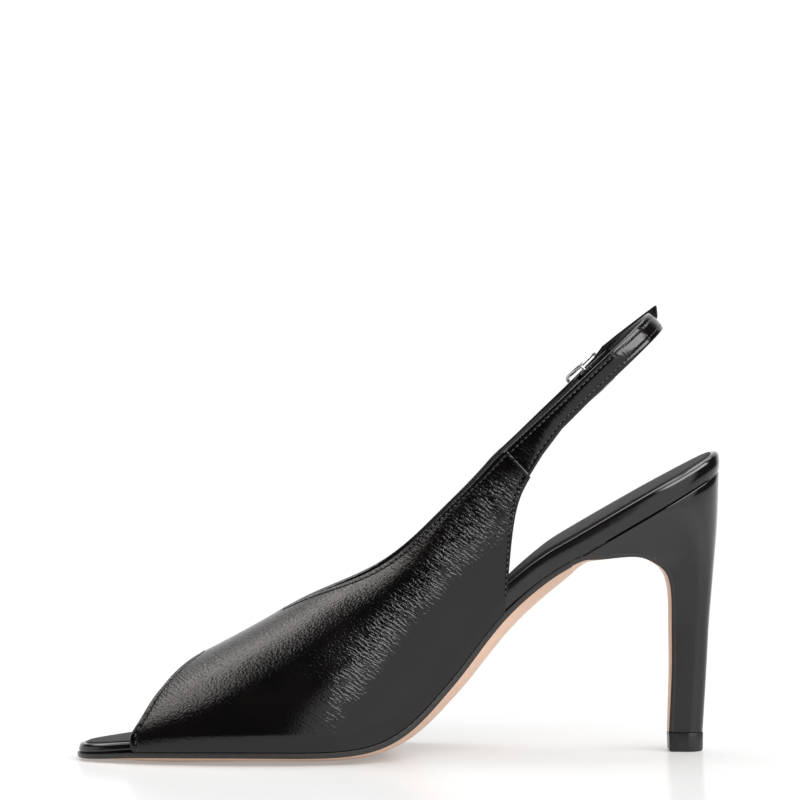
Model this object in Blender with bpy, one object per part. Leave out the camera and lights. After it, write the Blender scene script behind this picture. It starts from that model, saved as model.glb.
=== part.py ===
# Peep toe slingback shoe, right foot. Tables are in millimetres, the model is in metres.
# +X runs from toe to heel, -Y is the inner (medial) side, +Z is up, the floor is z = 0.
import math

import bmesh
import bpy
import numpy as np
from mathutils import Vector

MM = 0.001
BOX_CENTRE = (-0.4, 0.24)     # middle of the shoe's length and width in the tables' own frame
GAP = 0.3                # clearance between neighbouring pieces
MEDIAL = -1
LATERAL = 1
SIDES = (MEDIAL, LATERAL)

WALL = 1.75              # leather and lining of the upper
UPPER_EASE = 0.9         # room between footbed side and upper
FEATHER_TUCK = 1.0       # how far the upper draws in where it meets the sole
TUCK_HEIGHT = 5.0
BED_BULGE = 0.4          # convex side of the wrapped footbed
BED_ROUND = 0.7          # rounded rim of the footbed
UPRIGHT_FROM = 66.0      # from here to the heel back the rim turns upright
SOCK_INSET = 1.6
SOCK_THICK = 0.8
SOCK_ROUND = 0.4
EDGE_BEVEL = 0.25        # outsole edge leans in below
LIFT_TOP = 6.8
LIFT_FORWARD = 1.5       # the lift also covers the end of the outsole's flap
STRAP_SLOPE = math.radians(42.6)
STRAP_START = (37.7, 109.7)   # x and z of the seam's top corner
STRAP_THICK = 1.5
LOOP_START = 47.0        # strap distance where the turn round the ankle starts
LOOP_REACH = 24.5
STRAP_HALF = 25.5        # half the space between the two runs of the strap
TAB_THICK = 1.2
BAR_AT = 42.2            # strap distance of the buckle's centre bar
BAR_RADIUS = 0.7
BUCKLE_HALF_LENGTH = 7.0
BUCKLE_BOW = 4.7
PIN_RADIUS = 0.5
PIN_DEPTH = 3.6          # middle of the strap's width
BUCKLE_DEPTH = 3.7
SLOT_AT = 41.6           # slot in the folded strap end for the pin's hook
SLOT_SIZE = (7.0, 6.4, 1.8)
HOLE_AT = 39.0           # pin hole in the tab
HOLE_SIZE = (4.4, 4.4, 1.8)
BUCKLE_HALF_WIDTH = 5.8
BUCKLE_CORNER = 1.3
SEAM_LEAN = 1.2          # the wing is this much wider at the seam's lower end
LEAN_ENDS = 20.0

BED_STEPS = 46
MIRROR_ROWS = 2          # rows added past a round end
SOLE_STEPS_PER_ROW = 2
CROSS_STEPS = 8
SOLE_CROSS_STEPS = 12
CROWN_POWER = 2.6        # a higher power flattens the middle of the sole


def table(columns, rows):
    return dict(zip(columns.split(), np.array(rows, float).T))


# Footbed sections from toe to heel back: edge is the medial feather line, drop how much lower the
# lateral one is, welt how far the outsole stands out, crown how far its middle hangs below its edge.
BED = table("x half centre edge drop thick welt crown", [
    (-115.6, 0.0, -8.0, 2.9, 0.0, 2.4, 0.8, 0.0),
    (-114.6, 5.0, -8.0, 2.9, 0.0, 2.5, 0.8, 0.1),
    (-111.0, 9.8, -7.8, 3.1, 0.0, 2.6, 0.9, 0.4),
    (-104.0, 14.2, -7.2, 3.6, 0.0, 2.7, 1.3, 1.0),
    (-94.0, 18.8, -6.2, 4.3, 0.0, 2.9, 2.4, 2.4),
    (-80.0, 25.2, -4.2, 4.7, 0.0, 3.4, 2.8, 3.4),
    (-62.0, 31.6, -2.0, 5.0, 0.0, 3.8, 2.8, 3.6),
    (-44.0, 35.2, -0.6, 5.0, 0.0, 4.0, 2.8, 3.6),
    (-26.0, 36.0, 0.4, 5.0, 0.0, 4.2, 2.8, 3.6),
    (-10.0, 34.2, 1.4, 7.0, 0.5, 4.7, 2.8, 3.6),
    (3.0, 31.2, 2.2, 13.9, 2.0, 5.3, 2.8, 3.6),
    (13.6, 28.6, 2.7, 24.5, 3.5, 5.8, 2.6, 3.6),
    (22.0, 26.9, 3.0, 34.3, 4.0, 6.1, 2.3, 3.7),
    (34.3, 25.2, 2.8, 49.6, 3.8, 6.3, 1.6, 4.0),
    (47.0, 24.2, 1.8, 61.3, 2.2, 6.5, 0.6, 4.2),
    (56.0, 24.0, 1.1, 67.6, 0.9, 6.6, 0.2, 3.8),
    (64.0, 24.0, 0.5, 72.0, 0.0, 6.7, 0.0, 3.0),
    (86.0, 24.4, 0.0, 84.54, 0.0, 6.6, 0.0, 0.0),
    (100.0, 22.4, 0.0, 92.52, 0.0, 6.3, 0.0, 0.0),
    (109.0, 17.0, 0.0, 97.65, 0.0, 6.1, 0.0, 0.0),
    (113.8, 9.6, 0.0, 100.39, 0.0, 6.0, 0.0, 0.0),
    (115.2, 0.0, 0.0, 101.2, 0.0, 6.0, 0.0, 0.0),
])
SOLE_BED_ROWS = 16       # the outsole follows the footbed up to here, then the heel's breast
SOLE_EDGE = table("row thick", [(0, 1.5), (4, 1.8), (9, 2.0), (15, 1.8)])

# Heel sections from the lift up to the seat: the breast side, the back, half widths of both, and how far
# the middle of the flap on the breast stands proud of its edge.
HEEL = table("front_x front_z front_half back_x back_z half crown", [
    (97.9, 7.1, 4.7, 108.8, 7.1, 6.0, 0.2),
    (98.3, 14.0, 4.7, 109.3, 14.0, 6.1, 0.4),
    (99.1, 30.0, 4.8, 110.4, 30.0, 6.5, 0.65),
    (99.2, 44.0, 4.8, 111.3, 44.5, 7.2, 0.75),
    (99.2, 54.0, 5.3, 112.3, 56.0, 8.4, 0.75),
    (98.4, 61.5, 6.6, 113.2, 66.0, 10.2, 0.7),
    (96.2, 66.3, 9.2, 114.0, 75.0, 12.8, 0.45),
    (92.6, 69.4, 13.0, 114.6, 83.0, 16.0, 0.25),
    (86.2, 72.3, 17.6, 114.9, 90.0, 19.4, 0.2),
    (78.0, 72.6, 20.8, 115.1, 96.0, 22.3, 0.25),
    (70.0, 72.0, 22.4, 115.2, 99.2, 23.8, 0.9),
    (64.2, 71.5, 23.2, 115.2, 100.7, 24.3, 2.3),
])
HEEL_WIDEST = 0.42       # where, from breast to back, a heel section's round back begins
HEEL_ROUND = 2.4         # exponent of its round back
HEEL_CREASE = 0.6        # where its straight side would come to the full width
HEEL_SIDE_STEPS = 10
FLAP_THICK = 1.25
FLAP_GAP = 0.4
FLAP_FROM = 60.0         # station where the outsole leaves the footbed

# The last above the footbed: height of its ridge and fullness of its section, by station.
LAST = table("x ridge full", [
    (-104.0, 18.0, 2.0),
    (-91.0, 26.8, 2.0),
    (-82.0, 32.2, 2.0),
    (-72.8, 36.8, 2.0),
    (-60.0, 43.3, 2.0),
    (-45.1, 51.4, 2.0),
    (-30.0, 60.3, 2.05),
    (-14.4, 70.3, 2.15),
    (0.0, 83.2, 2.3),
    (10.0, 95.6, 2.5),
    (20.0, 109.4, 2.7),
    (30.0, 123.6, 3.0),
    (38.0, 136.6, 3.3),
    (46.0, 150.0, 3.5),
])

# Pattern lines of the upper, seen from the side.
PEEP_EDGE = table("x z", [(-94.6, 4.3), (-95.6, 9.6), (-92.6, 15.2), (-88.6, 21.9), (-83.4, 28.3),
                          (-77.8, 33.3), (-72.8, 36.8)])
THROAT = table("x z", [(-45.1, 51.4), (-35.0, 56.6), (-25.4, 60.7), (-14.4, 65.3), (-5.0, 70.6),
                       (4.0, 77.8), (13.0, 86.3), (22.0, 94.4), (30.3, 102.0), (37.7, 109.7)])
BACK_EDGE = table("x z", [(36.9, 53.4), (38.2, 66.9), (39.4, 79.8), (41.7, 92.0), (45.8, 100.6)])
RIDGE_SHARE = 0.28       # share of the upper's rows before the throat's point
CORNER_SHARE = 0.72      # share of its rows before the wing leaves the sole
ROWS_RIDGE = 8
ROWS_WING = 13
ROWS_BACK = 7
UPPER_COLUMNS = 12

# Sling strap: width by distance from the seam.
STRAP = table("at width", [(0.0, 12.4), (8.0, 10.2), (19.5, 8.2), (35.0, 7.7), (80.0, 7.7)])
# Buckle tab: distance, half space, top edge and bottom edge below the strap's top line.
TAB = table("at y top bottom", [
    (0.3, 25.4, 0.0, 12.35),
    (8.0, 25.5, 0.0, 10.0),
    (19.5, 25.7, -0.2, 7.5),
    (30.0, 25.8, -0.3, 6.8),
    (36.0, 26.0, -0.4, 6.6),
    (41.0, 27.0, -0.5, 6.4),
    (48.0, 27.0, -0.8, 6.2),
    (53.0, 26.3, -1.8, 6.0),
    (60.0, 25.0, -1.3, 5.8),
    (72.0, 21.6, -0.2, 5.4),
    (75.0, 20.6, 0.1, 4.2),
    (77.2, 19.9, 0.4, 1.3),
])
# Pin tongue: strap distance, and height above the centre bar.
TONGUE = table("at rise", [(39.6, 3.9), (37.6, 5.3), (35.4, 6.1), (33.9, 6.2)])
FLAP_END = 53.0          # strap distance where the folded strap end stops


def natural(values, at):
    # Cubic spline with free ends through values placed at whole steps.
    count = len(values)
    system = np.eye(count)
    bend = np.zeros(count)
    for i in range(1, count - 1):
        system[i, i - 1:i + 2] = (1, 4, 1)
        bend[i] = 6 * (values[i + 1] - 2 * values[i] + values[i - 1])
    bend = np.linalg.solve(system, bend)
    k = np.clip(np.floor(at).astype(int), 0, count - 2)
    t = at - k
    s = 1 - t
    return s * values[k] + t * values[k + 1] + ((s**3 - s) * bend[k] + (t**3 - t) * bend[k + 1]) / 6


def mirrored(tab, odd, ends):
    # Continues a table past its closed ends as its own mirror image, so that the ends come out round.
    out = {}
    for name, col in tab.items():
        sign = -1 if name in odd else 1
        tail = [sign * col[-2:-2 - MIRROR_ROWS:-1]] if ends == 2 else []
        out[name] = np.concatenate([sign * col[MIRROR_ROWS:0:-1], col] + tail)
    return out


def along(tab, at):
    return {name: natural(col, at) for name, col in tab.items()}


def by_x(tab, name, x):
    steps = np.linspace(0, len(tab["x"]) - 1, 600)
    return np.interp(x, natural(tab["x"], steps), natural(tab[name], steps))


def points(x, y, z):
    return np.stack(np.broadcast_arrays(x, y, z), axis=-1)


def tangents(x, z):
    dx = np.gradient(x)
    dz = np.gradient(z)
    size = np.hypot(dx, dz)
    return dx / size, dz / size


class Footline:
    # A row of sections under the foot: x, half, centre, edge and drop along the path.
    def __init__(self, rows, closed_back):
        self.rows = rows
        self.tx, self.tz = tangents(rows["x"], rows["edge"])
        upright = np.clip((rows["x"] - UPRIGHT_FROM) / (BED["x"][-1] - UPRIGHT_FROM), 0, 1) * closed_back
        self.nx = -self.tz * (1 - upright)
        self.nz = self.tx * (1 - upright) + upright / np.maximum(self.tx, 0.5)
        self.closed_back = closed_back

    def rim(self, side, out, height):
        # Outline moved outwards in plan and up along the path's normal.
        r = self.rows
        y = r["centre"] + side * r["half"]
        gx = np.gradient(r["x"])
        gy = np.gradient(y)
        size = np.hypot(gx, gy)
        nx = -side * gy / size
        ny = side * gx / size
        nx[0], ny[0] = -1, 0
        if self.closed_back:
            nx[-1], ny[-1] = 1, 0
        flat = np.abs(self.tx) > 0.5
        nx = np.where(flat, nx, 0)
        ny = np.where(flat, ny, side)
        slope = np.where(flat, self.tz / np.where(flat, self.tx, 1), 0)
        low = r["drop"] * (1 + side) / 2
        z = r["edge"] - low + slope * nx * out
        return points(r["x"] + nx * out + self.nx * height, y + ny * out, z + self.nz * height)

    def cap(self, out, height, columns, crown=0, power=1.0):
        # Sheet between both rims, bulged along the normal by crown.
        inner = self.rim(MEDIAL, out, height)
        outer = self.rim(LATERAL, out, height)
        w = np.linspace(0, 1, columns + 1)[None, :, None]
        sheet = inner[:, None] * (1 - w) + outer[:, None] * w
        rise = (1 - np.abs(2 * w - 1)**power) * np.reshape(crown * np.ones(len(inner)), (-1, 1, 1))
        return sheet + rise * points(self.nx, 0 * self.nx, self.nz)[:, None]


def solid(name, patches, material):
    # One closed body from grids of points that share their borders.
    mesh = bpy.data.meshes.new(name)
    build = bmesh.new()
    for grid in patches:
        verts = [[build.verts.new(placed(p)) for p in row] for row in np.asarray(grid).tolist()]
        for low, high in zip(verts, verts[1:]):
            for i in range(len(low) - 1):
                build.faces.new((low[i], low[i + 1], high[i + 1], high[i]))
    bmesh.ops.remove_doubles(build, verts=build.verts, dist=0.002 * MM)
    bmesh.ops.dissolve_degenerate(build, edges=build.edges, dist=0.001 * MM)
    bmesh.ops.triangulate(build, faces=build.faces)
    bmesh.ops.recalc_face_normals(build, faces=build.faces)
    build.to_mesh(mesh)
    build.free()
    mesh.shade_smooth()
    mesh.set_sharp_from_angle(angle=math.radians(40))
    mesh.materials.append(material)
    obj = bpy.data.objects.new(name, mesh)
    bpy.context.collection.objects.link(obj)
    return obj


def finish(name, colour, roughness, metallic=0.0, coat=0.0):
    mat = bpy.data.materials.new(name)
    mat.use_nodes = True
    shader = mat.node_tree.nodes["Principled BSDF"]
    shader.inputs["Base Color"].default_value = (*colour, 1)
    shader.inputs["Roughness"].default_value = roughness
    shader.inputs["Metallic"].default_value = metallic
    shader.inputs["Coat Weight"].default_value = coat
    return mat


def stacked(*rows):
    return np.stack(rows)


def footbed(material):
    bed = Footline(bed_rows(), True)
    thick = bed.rows["thick"]
    layers = [(0, 0 * thick), (BED_BULGE, thick / 2), (BED_BULGE / 2, thick - BED_ROUND), (-BED_ROUND, thick)]
    patches = [bed.cap(0, 0 * thick, 2), bed.cap(-BED_ROUND, thick, CROSS_STEPS)]
    for side in SIDES:
        patches.append(stacked(*(bed.rim(side, out, height) for out, height in layers)))
    return solid("footbed", patches, material)


def insole(material):
    bed = Footline(bed_rows(), True)
    low = bed.rows["thick"] + GAP
    high = low + SOCK_THICK
    layers = [(-SOCK_INSET, low), (-SOCK_INSET, high - SOCK_ROUND), (-SOCK_INSET - SOCK_ROUND, high)]
    patches = [bed.cap(*layers[0], 2), bed.cap(*layers[-1], CROSS_STEPS)]
    for side in SIDES:
        patches.append(stacked(*(bed.rim(side, out, height) for out, height in layers)))
    return solid("insole", patches, material)


def bed_rows():
    round_bed = mirrored(BED, ("half",), 2)
    return along(round_bed, MIRROR_ROWS + np.linspace(0, len(BED["x"]) - 1, BED_STEPS + 1))


def sole_rows():
    # The footbed's outline with its welt, then the breast of the heel from the seat down.
    front = {name: col[:SOLE_BED_ROWS] for name, col in BED.items()}
    count = len(HEEL["half"])
    breast_x = HEEL["front_x"][::-1]
    breast_z = HEEL["front_z"][::-1]
    zero = np.zeros(count)
    tab = {
        "x": np.concatenate([front["x"], breast_x]),
        "half": np.concatenate([front["half"], HEEL["front_half"][::-1]]),
        "centre": np.concatenate([front["centre"], zero]),
        "edge": np.concatenate([front["edge"], breast_z]),
        "drop": np.concatenate([front["drop"], zero]),
        "welt": np.concatenate([front["welt"], zero]),
        "crown": np.concatenate([front["crown"], HEEL["crown"][::-1]]),
        "thick": np.concatenate([np.interp(np.arange(SOLE_BED_ROWS), SOLE_EDGE["row"], SOLE_EDGE["thick"]),
                                 FLAP_THICK + zero]),
    }
    last_row = len(tab["x"]) - 1
    steps = np.linspace(0, last_row, SOLE_STEPS_PER_ROW * last_row + 1)
    return along(mirrored(tab, ("half",), 1), MIRROR_ROWS + steps)


def outsole(material):
    sole = Footline(sole_rows(), False)
    rows = sole.rows
    top_out = rows["welt"]
    low_out = rows["welt"] - EDGE_BEVEL
    top = -np.where(rows["x"] < FLAP_FROM, GAP, FLAP_GAP)
    low = top - rows["thick"]
    bottom = sole.cap(low_out, low, SOLE_CROSS_STEPS, -rows["crown"], CROWN_POWER)
    bottom[..., 2] = np.maximum(bottom[..., 2], 0)
    upper_sheet = sole.cap(top_out, top, SOLE_CROSS_STEPS)
    patches = [bottom, upper_sheet, stacked(upper_sheet[-1], bottom[-1])]
    for side in SIDES:
        patches.append(stacked(sole.rim(side, top_out, top), sole.rim(side, low_out, low)))
    return solid("outsole", patches, material)


def heel_loop(front, back, front_half, half, shares):
    # Half widths along a heel section: a straight side from the breast, then a round back.
    rising = front_half + (half - front_half) * shares / HEEL_CREASE
    past = np.clip((shares - HEEL_WIDEST) / (1 - HEEL_WIDEST), 0, 1)
    y = np.minimum(rising, half * (1 - past**HEEL_ROUND)**(1 / HEEL_ROUND))
    return points(front[0] + shares * (back[0] - front[0]), y, front[1] + shares * (back[1] - front[1]))


def heel_sections(rows, shares):
    loops = []
    for i in range(len(rows["half"])):
        front = (rows["front_x"][i], rows["front_z"][i])
        back = (rows["back_x"][i], rows["back_z"][i])
        loops.append(heel_loop(front, back, rows["front_half"][i], rows["half"][i], shares))
    return np.array(loops)


def heel_body(name, sections, material):
    mirror = sections * (1, -1, 1)
    patches = [sections, mirror, np.stack([sections[:, 0], mirror[:, 0]], axis=1)]
    for end in (0, -1):
        patches.append(stacked(sections[end], mirror[end]))
    return solid(name, patches, material)


def heel_shares():
    straight = np.linspace(0, HEEL_WIDEST, 4)[:-1]
    turn = np.linspace(0, math.pi / 2, HEEL_SIDE_STEPS - 2)
    return np.concatenate([straight, HEEL_WIDEST + (1 - HEEL_WIDEST) * np.sin(turn)])


def heel(material):
    rows = along(HEEL, np.linspace(0, len(HEEL["half"]) - 1, 2 * len(HEEL["half"]) - 1))
    return heel_body("heel", heel_sections(rows, heel_shares()), material)


def heel_lift(material):
    # The top piece: the heel's lowest section, drawn in a little below.
    levels = table("z grow", [(0.0, -0.5), (0.6, 0.0), (LIFT_TOP - 0.4, 0.15), (LIFT_TOP, -0.1)])
    count = len(levels["z"])
    foot = {name: np.repeat(col[0], count) for name, col in HEEL.items()}
    foot["front_x"] = foot["front_x"] - LIFT_FORWARD - levels["grow"]
    foot["back_x"] = foot["back_x"] + levels["grow"]
    foot["front_z"] = levels["z"]
    foot["back_z"] = levels["z"]
    foot["front_half"] = foot["front_half"] + levels["grow"]
    foot["half"] = foot["half"] + levels["grow"]
    return heel_body("heel_lift", heel_sections(foot, heel_shares()), material)


class Last:
    # The side of the last above the feather line; angle 0 is the feather, a quarter turn the ridge.
    def __init__(self, side):
        self.side = side

    def frame(self, x):
        half = by_x(BED, "half", x) + UPPER_EASE + WALL + FEATHER_TUCK
        feather = by_x(BED, "edge", x) - by_x(BED, "drop", x) * (1 + self.side) / 2
        return half, by_x(BED, "centre", x), feather, by_x(LAST, "ridge", x), by_x(LAST, "full", x)

    def angle(self, x, z):
        _, _, feather, ridge, full = self.frame(x)
        share = np.clip((z - feather) / (ridge - feather), 0, 1)
        return np.arcsin(share**(full / 2))

    def surface(self, x, angle):
        half, centre, feather, ridge, full = self.frame(x)
        rise = np.sin(angle)**(2 / full)
        spread = np.abs(np.cos(angle))**(2 / full)
        height = (ridge - feather) * rise
        tuck = FEATHER_TUCK * spread * np.exp(-height / TUCK_HEIGHT)
        y = centre * (1 - rise**2) + self.side * (half * spread - tuck)
        return points(x, y, feather + height)


def upper_rows():
    first = np.linspace(0, RIDGE_SHARE, ROWS_RIDGE + 1)
    middle = np.linspace(RIDGE_SHARE, CORNER_SHARE, ROWS_WING + 1)[1:]
    rest = np.linspace(CORNER_SHARE, 1, ROWS_BACK + 1)[1:]
    return np.concatenate([first, middle, rest])


def line_at(tab, share):
    at = np.clip(share, 0, 1) * (len(tab["x"]) - 1)
    return natural(tab["x"], at), natural(tab["z"], at)


def upper_side(side):
    # A patch between the upper's four pattern lines, laid on the last.
    last = Last(side)
    u = upper_rows()
    w = np.linspace(0, 1, UPPER_COLUMNS + 1)
    foot_x = PEEP_EDGE["x"][0] + (BACK_EDGE["x"][0] - PEEP_EDGE["x"][0]) * np.minimum(u / CORNER_SHARE, 1)
    back_x, back_z = line_at(BACK_EDGE, (u - CORNER_SHARE) / (1 - CORNER_SHARE))
    on_sole = u <= CORNER_SHARE
    low = np.stack([np.where(on_sole, foot_x, back_x), np.where(on_sole, 0, last.angle(back_x, back_z))])
    ridge_x = PEEP_EDGE["x"][-1] + (THROAT["x"][0] - PEEP_EDGE["x"][-1]) * np.minimum(u / RIDGE_SHARE, 1)
    throat_x, throat_z = line_at(THROAT, (u - RIDGE_SHARE) / (1 - RIDGE_SHARE))
    on_ridge = u <= RIDGE_SHARE
    high = np.stack([np.where(on_ridge, ridge_x, throat_x),
                     np.where(on_ridge, math.pi / 2, last.angle(throat_x, throat_z))])
    peep_x, peep_z = line_at(PEEP_EDGE, w)
    peep = np.stack([peep_x, last.angle(peep_x, peep_z)])
    peep[1, 0] = 0
    peep[1, -1] = math.pi / 2
    seam_x = BACK_EDGE["x"][-1] + w * (THROAT["x"][-1] - BACK_EDGE["x"][-1])
    seam_z = BACK_EDGE["z"][-1] + w * (THROAT["z"][-1] - BACK_EDGE["z"][-1])
    seam = np.stack([seam_x, last.angle(seam_x, seam_z)])
    a = u[:, None]
    b = w[None, :]
    across = low[:, :, None] * (1 - b) + high[:, :, None] * b
    lengthwise = peep[:, None, :] * (1 - a) + seam[:, None, :] * a
    corners = (1 - a) * across[:, :1] + a * across[:, -1:]
    x, angle = across + lengthwise - corners
    return last.surface(x, angle)


def inward(sheet, side):
    # Unit directions into the shoe, level along the foot of the wall.
    normal = np.cross(np.gradient(sheet, axis=0), np.gradient(sheet, axis=1)) * side
    normal[:, 0, 2] = 0
    return normal / np.linalg.norm(normal, axis=-1, keepdims=True)


def upper(material):
    patches = []
    outsides = [upper_side(side) for side in SIDES]
    insides = [sheet + WALL * inward(sheet, side) for sheet, side in zip(outsides, SIDES)]
    ridge = np.mean([sheet[:ROWS_RIDGE + 1, -1] for sheet in insides], axis=0)
    for outside, inside in zip(outsides, insides):
        inside[:ROWS_RIDGE + 1, -1] = ridge
        patches += [outside, inside, stacked(outside[0], inside[0]), stacked(outside[-1], inside[-1]),
                    stacked(outside[:, 0], inside[:, 0]),
                    stacked(outside[ROWS_RIDGE:, -1], inside[ROWS_RIDGE:, -1])]
    return solid("upper", patches, material)


def placed(point):
    return Vector((point[0] - BOX_CENTRE[0], point[1] - BOX_CENTRE[1], point[2])) * MM


def strap_point(at, y, depth):
    # Strap frame: distance along its slope, across the foot, and down from its top line.
    c, s = math.cos(STRAP_SLOPE), math.sin(STRAP_SLOPE)
    return points(STRAP_START[0] + at * c + depth * s, y, STRAP_START[1] + at * s - depth * c)


def ribbon(name, at, y, thick, top, bottom, lean, material):
    # A flat strap: its middle line in the strap's plane, thickened across it and given its width.
    ta, ty = tangents(at, y)
    faces = []
    for half in (-thick / 2, thick / 2):
        edge_at = at - ty * half
        edge_y = y + ta * half
        upper_edge = strap_point(edge_at, edge_y, top)
        lower_edge = strap_point(edge_at, edge_y + lean, bottom)
        faces.append(np.stack([upper_edge, lower_edge], axis=1))
    one, two = faces
    patches = [one, two, stacked(one[:, 0], two[:, 0]), stacked(one[:, 1], two[:, 1]),
               stacked(one[0], two[0]), stacked(one[-1], two[-1])]
    return solid(name, patches, material)


def loop_y(at):
    return STRAP_HALF * np.sqrt(np.maximum(1 - (np.maximum(at - LOOP_START, 0) / LOOP_REACH)**2, 0))


def bar_y():
    return STRAP_HALF - STRAP_THICK / 2 - GAP - BAR_RADIUS


def sling_strap(material):
    straight = np.linspace(GAP, LOOP_START, 13)[:-1]
    turn = np.linspace(-math.pi / 2, math.pi / 2, 33)
    fold = np.linspace(math.pi / 2, 3 * math.pi / 2, 9)
    reach = STRAP_HALF - bar_y()
    end = np.linspace(BAR_AT, FLAP_END, 6)[1:]
    tuck = np.linspace(2 * reach, STRAP_THICK + GAP, 6)[1:]
    at = [straight, LOOP_START + LOOP_REACH * np.cos(turn), BAR_AT + reach * np.cos(fold), end]
    y = [-STRAP_HALF + 0 * straight, STRAP_HALF * np.sin(turn), bar_y() + reach * np.sin(fold),
         loop_y(end) - tuck]
    at = np.concatenate(at)
    y = np.concatenate(y)
    width = np.interp(at, STRAP["at"], STRAP["width"])
    on_wing = np.arange(len(at)) < len(straight)
    width = np.where(on_wing, width, STRAP["width"][-1])
    lean = np.where(on_wing, -SEAM_LEAN * np.maximum(1 - at / LEAN_ENDS, 0), 0)
    strap = ribbon("sling_strap", at, y, STRAP_THICK, 0 * at, width, lean, material)
    cut(strap, cutter("slot_cutter", SLOT_AT, bar_y(), PIN_DEPTH, SLOT_SIZE))
    return strap


def cutter(name, at, y, depth, size):
    # A box in the strap's frame: its length along the slope, across the foot, and down.
    bpy.ops.mesh.primitive_cube_add(size=1)
    box = bpy.context.object
    box.name = name
    box.scale = Vector(size) * MM
    box.rotation_euler = (0, -STRAP_SLOPE, 0)
    box.location = placed(strap_point(at, y, depth).tolist())
    box.hide_render = True
    box.display_type = 'WIRE'
    return box


def cut(obj, tool, operation='DIFFERENCE'):
    step = obj.modifiers.new(tool.name, 'BOOLEAN')
    step.operation = operation
    step.solver = 'EXACT'
    step.object = tool


def buckle_tab(material):
    steps = np.linspace(0, len(TAB["at"]) - 1, 3 * len(TAB["at"]) - 2)
    rows = {name: np.interp(steps, np.arange(len(col)), col) for name, col in TAB.items()}
    rows["y"] = natural(TAB["y"], steps)
    lean = SEAM_LEAN * np.maximum(1 - rows["at"] / LEAN_ENDS, 0)
    tab = ribbon("buckle_tab", rows["at"], rows["y"], TAB_THICK, rows["top"], rows["bottom"], lean, material)
    cut(tab, cutter("hole_cutter", HOLE_AT, TAB["y"].max(), PIN_DEPTH, HOLE_SIZE))
    return tab


def tube(name, path, radius, closed, reference, material, sides=8):
    # A round wire along a path of points; the reference direction is one that the path never follows.
    path = np.asarray(path)
    if closed:
        tangent = np.roll(path, -1, axis=0) - np.roll(path, 1, axis=0)
    else:
        tangent = np.gradient(path, axis=0)
    tangent = tangent / np.linalg.norm(tangent, axis=1, keepdims=True)
    first = np.cross(tangent, reference)
    first = first / np.linalg.norm(first, axis=1, keepdims=True)
    second = np.cross(tangent, first)
    turn = np.linspace(0, 2 * math.pi, sides + 1)[None, :, None]
    skin = path[:, None] + radius * (np.cos(turn) * first[:, None] + np.sin(turn) * second[:, None])
    if closed:
        return solid(name, [np.concatenate([skin, skin[:1]])], material)
    caps = [stacked(skin[end], np.repeat(path[end][None], sides + 1, axis=0)) for end in (0, -1)]
    return solid(name, [skin] + caps, material)


def buckle_frame(material):
    # A rounded rectangle of wire, bowed so that the strap passes under both ends, and its centre bar.
    turn = np.linspace(0, math.pi / 2, 5)
    along_strap = []
    across = []
    for quarter, (sx, sz) in enumerate(((1, 1), (-1, 1), (-1, -1), (1, -1))):
        angle = turn + quarter * math.pi / 2
        along_strap += list(sx * (BUCKLE_HALF_LENGTH - BUCKLE_CORNER) + BUCKLE_CORNER * np.cos(angle))
        across += list(sz * (BUCKLE_HALF_WIDTH - BUCKLE_CORNER) + BUCKLE_CORNER * np.sin(angle))
        side = (quarter + 1) * math.pi / 2
        along_strap.append(BUCKLE_HALF_LENGTH * round(math.cos(side)))
        across.append(BUCKLE_HALF_WIDTH * round(math.sin(side)))
    along_strap = np.array(along_strap)
    bow = BUCKLE_BOW * (along_strap / BUCKLE_HALF_LENGTH)**2
    path = strap_point(BAR_AT + along_strap, bar_y() + bow, BUCKLE_DEPTH + np.array(across))
    frame = tube("buckle_frame", path, BAR_RADIUS, True, (0, 1, 0), material)
    ends = np.linspace(-BUCKLE_HALF_WIDTH, BUCKLE_HALF_WIDTH, 5)
    bar = tube("centre_bar", strap_point(BAR_AT + 0 * ends, bar_y() + 0 * ends, BUCKLE_DEPTH + ends),
               0.9 * BAR_RADIUS, False, (0, 1, 0), material)
    bar.hide_render = True
    bar.display_type = 'WIRE'
    cut(frame, bar, 'UNION')
    return frame


def buckle_pin(material):
    # A hook round the centre bar, then the tongue out through the hole and onto the front bar.
    ring = BAR_RADIUS + GAP + PIN_RADIUS
    angle = np.radians(np.linspace(-150, 115, 13))
    hook_at = BAR_AT + ring * np.cos(angle)
    hook_y = bar_y() + ring * np.sin(angle)
    at = np.concatenate([hook_at, TONGUE["at"]])
    y = np.concatenate([hook_y, bar_y() + TONGUE["rise"]])
    down = (math.sin(STRAP_SLOPE), 0, -math.cos(STRAP_SLOPE))
    return tube("buckle_pin", strap_point(at, y, PIN_DEPTH + 0 * at), PIN_RADIUS, False, down, material)


def main():
    for obj in list(bpy.data.objects):
        bpy.data.objects.remove(obj)
    black = finish("black_leather", (0.012, 0.012, 0.013), 0.28, coat=0.4)
    footbed(finish("black_patent", (0.012, 0.012, 0.013), 0.15, coat=0.8))
    insole(finish("black_sock", (0.018, 0.018, 0.019), 0.4))
    outsole(finish("tan_sole", (0.72, 0.52, 0.40), 0.5))
    heel(finish("black_heel", (0.012, 0.012, 0.013), 0.15, coat=0.8))
    heel_lift(finish("black_lift", (0.02, 0.02, 0.02), 0.5))
    upper(black)
    sling_strap(finish("black_strap", (0.012, 0.012, 0.013), 0.28, coat=0.4))
    buckle_tab(finish("black_tab", (0.012, 0.012, 0.013), 0.28, coat=0.4))
    silver = finish("silver", (0.75, 0.75, 0.77), 0.2, metallic=1.0)
    buckle_frame(silver)
    buckle_pin(finish("silver_pin", (0.75, 0.75, 0.77), 0.25, metallic=1.0))


main()
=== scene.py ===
import math

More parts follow.
